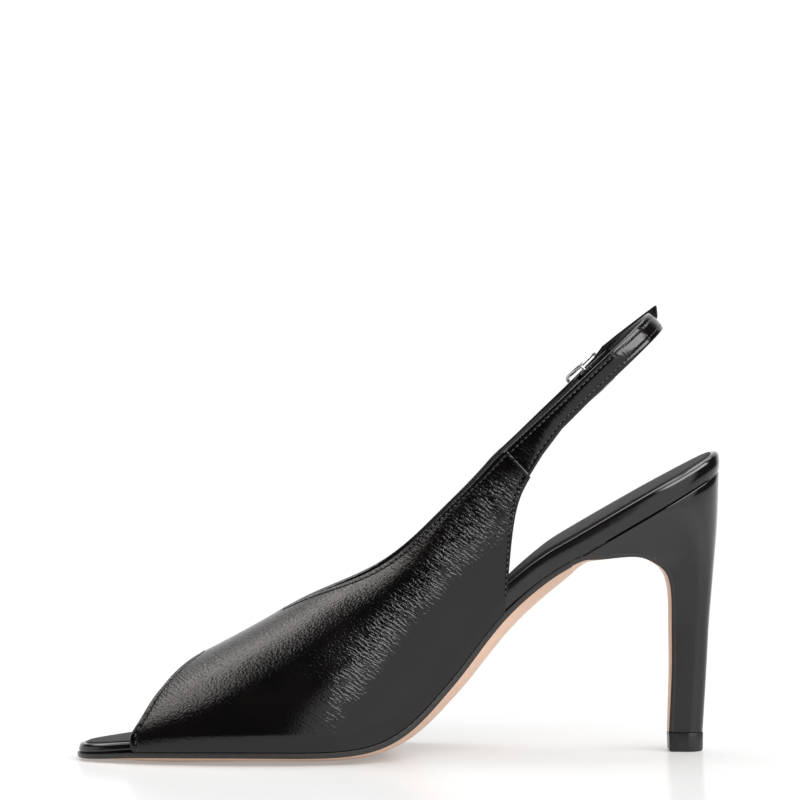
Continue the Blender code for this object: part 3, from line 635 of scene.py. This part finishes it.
upper = {"wall": 1.75, "ease": 0.9, "tuck": 1.0, "tuckHeight": 5.8, "tuckSoft": 0.07, "ridgeShare": 0.28,
         "cornerShare": 0.72, "ridgeRows": 40, "wingRows": 64, "backRows": 36, "columns": 64,
         "ridgeCrowding": 1.6, "edgeCrowding": 0.85, "rimSteps": 6, "rimFade": 6, "sharp": 60,
         "stitchIn": 1.7, "grooveWidth": 0.55, "grooveDepth": 0.2, "grooveFade": 4,
         "rollWidth": 24.0, "rollDepth": 1.8, "rollEnd": 0.35}
cornerRow = upper["ridgeRows"] + upper["wingRows"]   # where the wing leaves the sole


def lastFrame(side, x):   # half width, middle, feather line, ridge and fullness at x
    half = byStation(bedTable, "half", x) + upper["ease"] + upper["wall"] + upper["tuck"]
    feather = byStation(bedTable, "edge", x) - byStation(bedTable, "drop", x) * (1 + side) / 2
    ridge, full = byStation(lastTable, "ridge", x), byStation(lastTable, "full", x)
    return half, byStation(bedTable, "centre", x), feather, ridge, full


# side of the last: a superellipse from feather line to ridge, drawn in by a straight ramp near the feather
def lastSurface(side, x, angle):
    half, centre, feather, ridge, full = lastFrame(side, x)
    rise = np.sin(angle)**(2 / full)
    spread = np.abs(np.cos(angle))**(2 / full)
    height = (ridge - feather) * rise
    under = 1 - height / upper["tuckHeight"]
    tuck = upper["tuck"] * spread * (under + np.sqrt(under**2 + upper["tuckSoft"]**2)) / 2
    return points(x, centre * (1 - rise**2) + side * (half * spread - tuck), feather + height)


def lastAngle(side, x, z):
    _, _, feather, ridge, full = lastFrame(side, x)
    return np.arcsin(np.clip((z - feather) / (ridge - feather), 0, 1)**(full / 2))


def patternLine(tab, share):
    at = np.clip(share, 0, 1) * (len(tab["x"]) - 1)
    return smoothLine(tab["x"], at), smoothLine(tab["z"], at)


def upperRows():   # shares of the way from peep edge to seam, closer together at the peep
    first = upper["ridgeShare"] * np.linspace(0, 1, upper["ridgeRows"] + 1)**upper["ridgeCrowding"]
    middle = np.linspace(upper["ridgeShare"], upper["cornerShare"], upper["wingRows"] + 1)[1:]
    rest = np.linspace(upper["cornerShare"], 1, upper["backRows"] + 1)[1:]
    return np.concatenate([first, middle, rest])


# one side of the upper: a patch blended between its four pattern lines, laid on the last
def upperSide(side):
    u = upperRows()
    w = np.linspace(0, 1, upper["columns"] + 1)
    w = w - upper["edgeCrowding"] * np.sin(2 * math.pi * w) / (2 * math.pi)
    ridgeShare, cornerShare = upper["ridgeShare"], upper["cornerShare"]
    footX = peepEdge["x"][0] + (backEdge["x"][0] - peepEdge["x"][0]) * np.minimum(u / cornerShare, 1)
    backX, backZ = patternLine(backEdge, (u - cornerShare) / (1 - cornerShare))
    onSole = u <= cornerShare
    low = np.stack([np.where(onSole, footX, backX), np.where(onSole, 0, lastAngle(side, backX, backZ))])
    ridgeX = peepEdge["x"][-1] + (throatEdge["x"][0] - peepEdge["x"][-1]) * np.minimum(u / ridgeShare, 1)
    throatX, throatZ = patternLine(throatEdge, (u - ridgeShare) / (1 - ridgeShare))
    onRidge = u <= ridgeShare
    high = np.stack([np.where(onRidge, ridgeX, throatX),
                     np.where(onRidge, math.pi / 2, lastAngle(side, throatX, throatZ))])
    peepX, peepZ = patternLine(peepEdge, w)
    peep = np.stack([peepX, lastAngle(side, peepX, peepZ)])
    peep[1, 0], peep[1, -1] = 0, math.pi / 2
    seamX = backEdge["x"][-1] + w * (throatEdge["x"][-1] - backEdge["x"][-1])
    seamZ = backEdge["z"][-1] + w * (throatEdge["z"][-1] - backEdge["z"][-1])
    seam = np.stack([seamX, lastAngle(side, seamX, seamZ)])
    a, b = u[:, None], w[None, :]
    across = low[:, :, None] * (1 - b) + high[:, :, None] * b
    lengthwise = peep[:, None, :] * (1 - a) + seam[:, None, :] * a
    x, angle = across + lengthwise - (1 - a) * across[:, :1] - a * across[:, -1:]
    return lastSurface(side, x, angle)


def inwardOf(sheet, side):   # unit normals into the shoe, level along the feather line
    normal = np.cross(np.gradient(sheet, axis=0), np.gradient(sheet, axis=1)) * side
    normal[:, 0, 2] = 0
    return unit(normal)


def lengthsAlong(sheet, axis):   # distance from the first line of the grid, along its other lines
    step = np.linalg.norm(np.diff(sheet, axis=axis), axis=-1)
    return np.concatenate([np.zeros_like(np.take(step, [0], axis)), np.cumsum(step, axis)], axis)


def trough(far):
    return bell(far - upper["stitchIn"], upper["grooveWidth"])


# soft troughs under the stitch rows, a bell of depth across the distance from each border; the wing also
# rolls inwards to its topline as a square of the nearness, eased in along the topline and out at the seam
def grooved(sheet, side):
    rows = np.arange(len(sheet))[:, None]
    ridge, soft = upper["ridgeRows"], upper["grooveFade"]
    fromLow, fromPeep = lengthsAlong(sheet, 1), lengthsAlong(sheet, 0)
    fromTop = fromLow[:, -1:] - fromLow
    dent = trough(fromTop) * fade(rows - ridge, soft) + trough(fromLow) * fade(rows - cornerRow, soft)
    dent = np.maximum(dent, trough(fromPeep) * fade(fromLow, soft))
    near = fade(1 - fromTop / upper["rollWidth"])**2
    along = fade(rows - ridge, len(sheet) - 1 - ridge)
    roll = upper["rollDepth"] * near * eased(along) * eased(fade(1 - along, upper["rollEnd"]))
    return sheet + inwardOf(sheet, side) * (upper["grooveDepth"] * dent + roll)[..., None]


# half round between the outer and inner border lines, swollen along outward by half the wall
def roundRim(outer, inner, outward, swell):
    turn = np.linspace(0, math.pi, upper["rimSteps"] + 1)[None, :, None]
    middle = (outer + inner) / 2
    radius = np.linalg.norm(outer - inner, axis=-1, keepdims=True) / 2
    bulge = (outward * radius * swell[:, None])[:, None]
    flat = middle[:, None] + (outer - middle)[:, None] * np.cos(turn)
    skin = flat + bulge * np.sin(turn)
    return [(skin, 0), (np.stack([skin[0], flat[0]]), 0), (np.stack([skin[-1], flat[-1]]), 0)]


def peepLine(sheet, inside=0):   # inside counts grid lines from the border
    return sheet[inside]


def throatLine(sheet, inside=0):
    return sheet[upper["ridgeRows"]:, -1 - inside][::-1]


def bothLines(one, two):   # one side's line up to the ridge and down the other side
    return np.concatenate([one, two[::-1][1:]])


# rim of an opening that runs over the ridge: a half round that fades in at both ends as a square root
def openRim(border, outs, ins):
    outward = [unit(border(sheet) - border(sheet, 1)) for sheet in outs]
    outward[0][-1] = unit(outward[0][-1] + outward[1][-1])
    edge = bothLines(*(border(sheet) for sheet in outs))
    inEdge = bothLines(*(border(sheet) for sheet in ins))
    rows = np.arange(len(edge))
    ends = fade(np.minimum(rows, rows[-1] - rows), upper["rimFade"])
    return roundRim(edge, inEdge, bothLines(*outward), np.sqrt(ends))


crinkles = {"even": 0.03, "rim": 0.7, "rimWidth": 8.0, "rimFrom": 18.0, "rimRise": 12.0,
            "fold": table("x z width amount", [
                (-28, 7, 7, 0.35), (-18, 27, 7, 0.55), (-3, 49, 7, 0.7), (10, 63, 10, 0.9), (22, 76, 14, 1),
                (30, 84, 17, 1), (34, 92, 16, 1), (37, 98, 13, 0.8), (39, 103, 9, 0.1), (41, 108, 8, 0)])}
dryGrain = {"even": 0.12, "reach": 26.0}


# where the leather is most crinkled: a bell across the fold that runs down the wing, as wide and strong as
# the fold table says at that height, and a narrow bell beside the peep edge, over a low even level
def crinkleAmount(verts):
    x, z = verts[:, 0], verts[:, 2]
    fold = {name: np.interp(z, crinkles["fold"]["z"], col) for name, col in crinkles["fold"].items()}
    atRim = bell(x - np.interp(z, peepEdge["z"], peepEdge["x"]), crinkles["rimWidth"])
    atRim = atRim * fade(z - crinkles["rimFrom"], crinkles["rimRise"])
    return crinkles["even"] + fold["amount"] * bell(x - fold["x"], fold["width"]) + crinkles["rim"] * atRim


# where the fine dry grain shows: a bell below the ridge, fading off the wing
def grainAmount(verts):
    x = np.clip(verts[:, 0], lastTable["x"][0], lastTable["x"][-1])
    below = byStation(lastTable, "ridge", x) - verts[:, 2]
    return dryGrain["even"] + (1 - dryGrain["even"]) * bell(below, dryGrain["reach"])


# hollow upper: an outer sheet and a lining on each side, joined along the ridge and closed by rims
def makeUpper():
    plain = [upperSide(side) for side in bothSides]
    outs = [grooved(sheet, side) for sheet, side in zip(plain, bothSides)]
    ins = [sheet + upper["wall"] * inwardOf(sheet, side) for sheet, side in zip(plain, bothSides)]
    onRidge = slice(0, upper["ridgeRows"] + 1)
    for pair in (outs, ins):
        shared = np.mean([sheet[onRidge, -1] for sheet in pair], axis=0)
        for sheet in pair:
            sheet[onRidge, -1] = shared
    grids = []
    for sheet, inner in zip(outs, ins):
        grids += [(sheet, 0), (inner, 1)]
        swell = fade(np.arange(len(sheet)) - cornerRow, upper["rimFade"])
        grids += roundRim(sheet[:, 0], inner[:, 0], unit(sheet[:, 0] - sheet[:, 1]), swell)
        grids += roundRim(sheet[-1], inner[-1], 0 * sheet[-1], 0 * sheet[-1, :, 0])
    grids += openRim(peepLine, outs, ins) + openRim(throatLine, outs, ins)
    verts = np.concatenate([grid.reshape(-1, 3) for grid, _ in grids])
    marks = {"crinkle": crinkleAmount(verts), "grain": grainAmount(verts)}
    finishes = [blackLeather, lining]
    place(gridMesh("peepToeUpper", grids, finishes, upper["sharp"], marks), "upper_leather", "upper")
    return outs


strap = {"slope": math.radians(42.6), "start": (37.7, 109.7), "thick": 1.5, "half": 25.5, "lean": 1.2,
         "leanEnds": 20.0, "loopStart": 47.0, "loopReach": 24.5, "barAt": 42.2, "barRadius": 0.7,
         "flapEnd": 53.0, "seam": 1.2, "seamSteps": 13, "wingFrom": 2.0, "wingSteps": 58, "loopSteps": 120,
         "foldSteps": 24, "flapSteps": 14, "edgeSteps": 6, "faceSteps": 44, "sharp": 60, "bow": 1.2,
         "roll": 0.7, "bead": 0.3, "beadAt": -0.4, "beadWidth": 0.45, "puffLength": 14.0, "flapPuff": 0.15,
         "swell": 0.5, "edgeThin": 0.3, "stitchIn": 1.75, "trough": 0.16, "troughWidth": 0.5}
loopEnd = strap["seamSteps"] + strap["wingSteps"] + strap["loopSteps"] - 2   # last step before the fold


def strapPoint(at, y, depth):   # distance along the slope, across the foot, down from the strap's top line
    c, s = math.cos(strap["slope"]), math.sin(strap["slope"])
    return points(strap["start"][0] + at * c + depth * s, y, strap["start"][1] + at * s - depth * c)


def strapSwell(across, puff):   # parabola over the width
    return strap["swell"] * puff * (1 - (2 * across - 1)**2)


def strapRoll(at, across):   # the top edge leans in before the loop, as a square
    return strap["roll"] * fade(1 - at / strap["loopStart"]) * (1 - across)**2


# padded strap: a ring with two half round edges and faces that swell as a parabola, with a soft trough under
# each stitch row, carried along the strap's path; puff grows along the first stretch from the seam
def ribbon(at, y, thick, top, bottom, lean, puff):
    da, dy = np.gradient(at), np.gradient(y)
    size = np.hypot(da, dy)
    turn = np.linspace(0, math.pi, strap["edgeSteps"] + 1)
    face = np.linspace(0, 1, strap["faceSteps"] + 1)[1:-1]
    share = np.concatenate([0 * turn, face, 0 * turn + 1, face[::-1], [0]])
    off = np.concatenate([-np.sin(turn), 0 * face, np.sin(turn), 0 * face, [0]])
    lay = np.concatenate([-np.cos(turn), 1 + 0 * face, np.cos(turn), -1 - 0 * face, [-1]])
    ta, ty, at, y, thick, top, bottom, lean, puff = (
        values[:, None] for values in (da / size, dy / size, at, y, thick, top, bottom, lean, puff))
    edge = thick / 2 - strap["edgeThin"] * puff
    depth = (top + edge) + share * ((bottom - top) - 2 * edge) + off * edge
    across = (depth - top) / np.maximum(bottom - top, 0.1)
    stitchOff = np.minimum(depth - top, bottom - depth) - strap["stitchIn"]
    padding = strapSwell(across, puff) - strap["trough"] * puff * bell(stitchOff, strap["troughWidth"])
    offset = lay * edge + np.sign(lay) * padding * (np.abs(off) < 0.01)
    ringY = y - np.sign(y) * strapRoll(at, across) + ta * offset + lean * across
    skin = strapPoint(at - ty * offset, ringY, depth)
    grids = [(skin, 0)]
    for end in (0, -1):
        loop = skin[end][:-1]
        half = len(loop) // 2
        back = np.concatenate([loop[:1], loop[half:][::-1]])[:half + 1]
        grids.append((np.stack([loop[:half + 1], back]), 0))
    return grids


# sling path: straight along the wing, half an ellipse round the ankle, folded round the bar and tucked inside
def slingPath():
    loopStart, loopReach, side = strap["loopStart"], strap["loopReach"], strap["half"]
    seam = np.linspace(-strap["seam"], strap["seam"], strap["seamSteps"])
    straight = np.concatenate([seam, np.linspace(strap["wingFrom"], loopStart, strap["wingSteps"])])[:-1]
    turn = np.linspace(-math.pi / 2, math.pi / 2, strap["loopSteps"])
    fold = np.linspace(math.pi / 2, 3 * math.pi / 2, strap["foldSteps"])
    reach = strap["thick"] / 2 + gap + strap["barRadius"]
    end = np.linspace(strap["barAt"], strap["flapEnd"], strap["flapSteps"])[1:]
    tuck = np.linspace(2 * reach, strap["thick"] + gap, strap["flapSteps"])[1:]
    outer = side * np.sqrt(1 - (np.maximum(end - loopStart, 0) / loopReach)**2)
    bow = strap["bow"] * np.sin(math.pi * fade(straight, loopStart))
    at = np.concatenate([straight, loopStart + loopReach * np.cos(turn),
                         strap["barAt"] + reach * np.cos(fold), end])
    y = np.concatenate([-side - bow, side * np.sin(turn), side - reach + reach * np.sin(fold), outer - tuck])
    onWing = np.arange(len(at)) < len(straight)
    width = np.where(onWing, np.interp(at, strapTable["at"], strapTable["width"]), strapTable["width"][-1])
    lean = np.where(onWing, -strap["lean"] * np.maximum(1 - at / strap["leanEnds"], 0), 0)
    return at, y, width, lean


def makeSlingStrap():   # the ribbon along its path, with a raised bead at the seam
    at, y, width, lean = slingPath()
    puff = np.where(np.arange(len(at)) > loopEnd, strap["flapPuff"], fade(at, strap["puffLength"]))
    bead = strap["bead"] * bell(at - strap["beadAt"], strap["beadWidth"])
    grids = ribbon(at, y, strap["thick"] + bead, 0 * at, width, lean, puff)
    place(gridMesh("slingStrap", grids, [strapLeather], strap["sharp"]), "strap_leather", "sling_strap")


buckleTab = {"steps": 160, "thick": 1.2, "underlap": 1.8, "puff": 0.3, "tipFade": 3.0}


def makeTab():   # the same ribbon along the tab's own table
    steps = np.linspace(0, len(tabTable["at"]) - 1, buckleTab["steps"])
    rows = {name: np.interp(steps, np.arange(len(col)), col) for name, col in tabTable.items()}
    at = rows["at"]
    at[0] -= buckleTab["underlap"]
    lean = strap["lean"] * np.maximum(1 - at / strap["leanEnds"], 0)
    tip = fade(tabTable["at"][-1] - at, buckleTab["tipFade"])
    puff = buckleTab["puff"] * fade(at, strap["puffLength"]) * tip
    y = smoothLine(tabTable["y"], steps)
    grids = ribbon(at, y, buckleTab["thick"] + 0 * puff, rows["top"], rows["bottom"], lean, puff)
    place(gridMesh("buckleTab", grids, [strapLeather], strap["sharp"]), "strap_leather", "buckle_tab")


buckle = {"halfLength": 7.0, "halfWidth": 5.8, "corner": 1.3, "cornerSteps": 9, "frameSteps": 120, "bow": 4.7,
          "depth": 3.7, "barSteps": 9, "barShare": 0.9, "wireSides": 16, "domeSteps": 5,
          "pinDepth": 3.6, "pinRadius": 0.5, "pinRing": (-150, 115), "pinSteps": 25,
          "tongue": table("at rise", [(39.6, 3.9), (37.6, 5.3), (35.4, 6.1), (33.9, 6.2)])}
barY = strap["half"] - strap["thick"] / 2 - gap - strap["barRadius"]   # the centre bar lies inside the sling


# round wire: a circle carried along a path, closed on itself or with domed ends
def wireGrids(path, radius, closed, reference):
    ahead = np.roll(path, -1, axis=0) - np.roll(path, 1, axis=0) if closed else np.gradient(path, axis=0)
    ahead = unit(ahead)
    first = unit(np.cross(ahead, reference))
    second = np.cross(ahead, first)
    turn = np.linspace(0, 2 * math.pi, buckle["wireSides"] + 1)[None, :, None]
    ring = np.cos(turn) * first[:, None] + np.sin(turn) * second[:, None]
    skin = path[:, None] + radius * ring
    if closed:
        return [(np.concatenate([skin, skin[:1]]), 0)]
    grids = [(skin, 0)]
    lift = np.linspace(0, math.pi / 2, buckle["domeSteps"])[:, None, None]
    for end, sign in ((0, -1), (-1, 1)):
        grids.append((path[end] + radius * (np.cos(lift) * ring[end] + sign * np.sin(lift) * ahead[end]), 0))
    return grids


# buckle frame: a rectangle with round corners, stepped evenly and bowed as a square over its length
def makeBuckleFrame():
    turn = np.linspace(0, math.pi / 2, buckle["cornerSteps"])
    lay, across = [], []
    for quarter, (sx, sz) in enumerate(((1, 1), (-1, 1), (-1, -1), (1, -1))):
        angle = turn + quarter * math.pi / 2
        lay.append(sx * (buckle["halfLength"] - buckle["corner"]) + buckle["corner"] * np.cos(angle))
        across.append(sz * (buckle["halfWidth"] - buckle["corner"]) + buckle["corner"] * np.sin(angle))
    lay = np.concatenate(lay + [lay[0][:1]])
    across = np.concatenate(across + [across[0][:1]])
    length = np.concatenate([[0], np.cumsum(np.hypot(np.diff(lay), np.diff(across)))])
    even = np.linspace(0, length[-1], buckle["frameSteps"] + 1)[:-1]
    lay, across = np.interp(even, length, lay), np.interp(even, length, across)
    bow = buckle["bow"] * (lay / buckle["halfLength"])**2
    path = strapPoint(strap["barAt"] + lay, barY + bow, buckle["depth"] + across)
    ends = np.linspace(-buckle["halfWidth"], buckle["halfWidth"], buckle["barSteps"])
    bar = strapPoint(strap["barAt"] + 0 * ends, barY + 0 * ends, buckle["depth"] + ends)
    outward = (0, 1, 0)
    grids = wireGrids(path, strap["barRadius"], True, outward)
    grids += wireGrids(bar, buckle["barShare"] * strap["barRadius"], False, outward)
    place(gridMesh("buckleFrame", grids, [silver]), "buckle_metal", "buckle_frame")


# buckle pin: most of a ring round the bar, running out along the points of its tongue
def makeBucklePin():
    ring = strap["barRadius"] + gap + buckle["pinRadius"]
    angle = np.radians(np.linspace(*buckle["pinRing"], buckle["pinSteps"]))
    at = np.concatenate([strap["barAt"] + ring * np.cos(angle), buckle["tongue"]["at"]])
    y = np.concatenate([barY + ring * np.sin(angle), barY + buckle["tongue"]["rise"]])
    down = (math.sin(strap["slope"]), 0, -math.cos(strap["slope"]))
    grids = wireGrids(strapPoint(at, y, buckle["pinDepth"] + 0 * at), buckle["pinRadius"], False, down)
    place(gridMesh("bucklePin", grids, [silver]), "buckle_metal", "buckle_pin")


stitch = {"pitch": 2.1, "peepPitch": 2.52, "length": 1.5, "radius": 0.27, "sink": 0.03, "hole": 0.34,
          "holeSink": 0.2, "rings": 6, "sides": 6, "skip": 3, "backSkip": 1}


# a row of thread: equal steps along a line on the leather, each stitch an ellipsoid laid along it, with a
# sunken pinhole between each two, painted dull near black as the shade inside the hole
def stitchGrids(line, out, pitch):
    step = np.linalg.norm(np.diff(line, axis=0), axis=1)
    length = np.concatenate([[0], np.cumsum(step)])
    count = max(int(length[-1] / pitch), 1)
    at = (np.arange(2 * count) + 0.5) * length[-1] / (2 * count)
    centre, up, ahead = (np.stack([np.interp(at, length, column) for column in values.T], axis=-1)
                         for values in (line, out, np.gradient(line, axis=0)))
    up, ahead = unit(up), unit(ahead)
    lift = np.linspace(0, math.pi, stitch["rings"] + 1)[:, None, None]
    turn = np.linspace(0, 2 * math.pi, stitch["sides"] + 1)[None, :, None]
    shapes = ((stitch["length"] / 2, stitch["radius"], stitch["sink"]),
              (stitch["hole"], stitch["hole"], stitch["holeSink"]))
    grids = []
    for k, (c, a, s, n) in enumerate(zip(centre, ahead, np.cross(ahead, up), up)):
        reach, radius, sink = shapes[k % 2]
        body = np.cos(lift) * a * reach + np.sin(lift) * radius * (np.cos(turn) * s + np.sin(turn) * n)
        grids.append((c - n * sink + body, k % 2))
    return grids


def insideLine(border, beside):   # a border line moved in to where it is sewn
    return border - unit(border - beside) * upper["stitchIn"]


def upperStitches(sheet, side):   # along the throat, the peep edge and the back of the wing
    out = -inwardOf(sheet, side)
    ridge, skip, backFrom = upper["ridgeRows"], stitch["skip"], cornerRow + stitch["backSkip"]
    throat = insideLine(sheet[ridge:, -1], sheet[ridge:, -2])
    peep = insideLine(sheet[0], sheet[1])
    back = insideLine(sheet[backFrom:, 0], sheet[backFrom:, 1])
    grids = stitchGrids(throat[skip:], out[ridge + skip:, -1], stitch["pitch"])
    grids += stitchGrids(peep[skip:], out[0, skip:], stitch["peepPitch"])
    return grids + stitchGrids(back, out[backFrom:, 0], stitch["pitch"])


def strapStitches():   # two rows on the padded outer face
    at, y, width, lean = slingPath()
    puff = fade(at, strap["puffLength"])
    da, dy = np.gradient(at), np.gradient(y)
    size = np.hypot(da, dy)
    sewn = slice(strap["seamSteps"] - 1, loopEnd)
    out = strapPoint(dy, -da, 0) - strapPoint(0, 0, 0)
    grids = []
    for depth in (strap["stitchIn"] + 0 * width, width - strap["stitchIn"]):
        across = depth / width
        lift = strap["thick"] / 2 - (strap["edgeThin"] + strap["trough"]) * puff + strapSwell(across, puff)
        lineY = y - da / size * lift + lean * across - np.sign(y) * strapRoll(at, across)
        line = strapPoint(at + dy / size * lift, lineY, depth)
        grids += stitchGrids(line[sewn], out[sewn], stitch["pitch"])
    return grids


def makeStitches(outs):
    grids = [grid for sheet, side in zip(outs, bothSides) for grid in upperStitches(sheet, side)]
    place(gridMesh("topStitching", grids + strapStitches(), [threadBlack, pinholePaintedShade]), "strap_leather")


makeFootbed()
makeSock()
makeOutsole()
makeHeel()
makeTopPiece()
upperSheets = makeUpper()
makeSlingStrap()
makeTab()
makeBuckleFrame()
makeBucklePin()
makeStitches(upperSheets)

view = {"lens": 136.8, "sensor": 36.0, "x": 0.9, "distance": 1100.0, "height": 127.7, "roll": 0.55,
        "far": 100.0}


def makeCamera():
    data = bpy.data.cameras.new("photoCamera")
    data.lens = view["lens"]
    data.sensor_width = view["sensor"]
    data.clip_end = view["far"]
    camera = bpy.data.objects.new("photoCamera", data)
    camera.location = (view["x"] * mm, -view["distance"] * mm, view["height"] * mm)
    camera.rotation_euler = (math.pi / 2, math.radians(view["roll"]), 0)
    bpy.context.scene.collection.objects.link(camera)
    bpy.context.scene.camera = camera


# strengths, then directions in degrees where each light begins and ends, turned from the camera to the right
# and lifted from the floor
studio = {"backdrop": 1.05, "dark": 0.035, "zenith": 3.4, "rimLight": 3.2, "lamp": 8.0, "card": 1.1,
          "box": 5.4, "behind": 0.85, "left": 1.0, "boxTint": (1.0, 0.93, 0.89, 1),
          "cardTurn": ((-8, 2), (52, 66)), "cardTop": (20, 31),
          "boxAt": -112, "boxSide": (35, 55), "boxLift": ((40, 53), (53, 58.5)),
          "lampSlant": 1.2, "lampFrom": (40, 52), "lampTo": (82, 94), "lampLift": ((20, 29), (52, 60)),
          "behindTurn": (128, 155), "behindTop": (40, 62), "rimTurn": (105, 135), "rimLift": (44, 54),
          "leftTurn": (52, 72), "leftTop": (14, 27), "zenithLift": (66, 74)}


# studio surround by direction: a soft box up on the left, a lamp up on the right, a white card low on the
# right of the camera, white behind and low on the left, a rim light high behind and a glow overhead; the
# camera itself sees a white backdrop
def makeSurround():
    world = bpy.data.worlds.new("studio")
    bpy.context.scene.world = world
    world.use_nodes = True
    tree = world.node_tree
    tree.nodes.clear()
    ray = node(tree, "TexCoord", out="Generated")
    sx, sy, sz = (node(tree, "SeparateXYZ", None, {0: ray}, axis) for axis in range(3))
    turn = sx.maths("ARCTAN2", sx, 0 - sy) * math.degrees(1)
    lift = sz.maths("ARCSINE", sz) * math.degrees(1)
    aside = turn.maths("ABSOLUTE", turn)
    fromBox = turn.maths("ABSOLUTE", turn - studio["boxAt"])
    card = turn.within(*studio["cardTurn"]) * (1 - lift.between(*studio["cardTop"]))
    box = (1 - fromBox.between(*studio["boxSide"])) * lift.within(*studio["boxLift"])
    lamp = (turn + studio["lampSlant"] * lift).between(*studio["lampFrom"])
    lamp = lamp * (1 - turn.between(*studio["lampTo"])) * lift.within(*studio["lampLift"])
    behind = aside.between(*studio["behindTurn"]) * (1 - lift.between(*studio["behindTop"]))
    rimLight = aside.between(*studio["rimTurn"]) * lift.between(*studio["rimLift"]) * (1 - box)
    left = (0 - turn).between(*studio["leftTurn"]) * (1 - lift.between(*studio["leftTop"])) * (1 - behind)
    zenith = lift.between(*studio["zenithLift"])
    level = studio["card"] * card + studio["box"] * box + studio["left"] * left + studio["behind"] * behind
    level = level + studio["lamp"] * lamp + studio["rimLight"] * rimLight + studio["zenith"] * zenith
    tint = mixColours(tree, box, (1, 1, 1, 1), studio["boxTint"])
    light = node(tree, "Background", None, {"Color": tint, "Strength": level + studio["dark"]})
    white = node(tree, "Background", None, {"Color": (1, 1, 1, 1), "Strength": studio["backdrop"]})
    seen = node(tree, "LightPath", out="Is Camera Ray")
    both = node(tree, "MixShader", None, {0: seen, 1: light, 2: white})
    node(tree, "OutputWorld", None, {"Surface": both})


paperFloor = {"size": 12.0, "grey": (0.34, 0.34, 0.34, 1), "glow": 0.32, "gloss": 0.17, "ior": 1.45,
              "mirror": 0.4}


# pale floor: an even white that turns to a soft mirror only at low angles
def makeFloor():
    half = paperFloor["size"] / 2
    mesh = bpy.data.meshes.new("floor")
    corners = [(-half, -half, 0), (half, -half, 0), (half, half, 0), (-half, half, 0)]
    mesh.from_pydata(corners, [], [(0, 1, 2, 3)])
    mat = bpy.data.materials.new("paleFloor")
    mat.use_nodes = True
    tree = mat.node_tree
    tree.nodes.clear()
    paper = node(tree, "BsdfPrincipled", None,
                 {"Base Color": paperFloor["grey"], "Specular IOR Level": 0, "Roughness": 1,
                  "Emission Color": (1, 1, 1, 1), "Emission Strength": paperFloor["glow"]})
    mirror = node(tree, "BsdfGlossy", None, {"Color": (1, 1, 1, 1), "Roughness": paperFloor["gloss"]})
    facing = node(tree, "Fresnel", None, {"IOR": paperFloor["ior"]})
    both = node(tree, "MixShader", None, {0: paperFloor["mirror"] * facing, 1: paper, 2: mirror})
    node(tree, "OutputMaterial", None, {"Surface": both})
    mesh.materials.append(mat)
    floor = bpy.data.objects.new("floor", mesh)
    bpy.context.scene.collection.objects.link(floor)


bpy.context.scene.view_settings.view_transform = 'Standard'
makeCamera()
makeSurround()
makeFloor()
print("camera and studio ready")
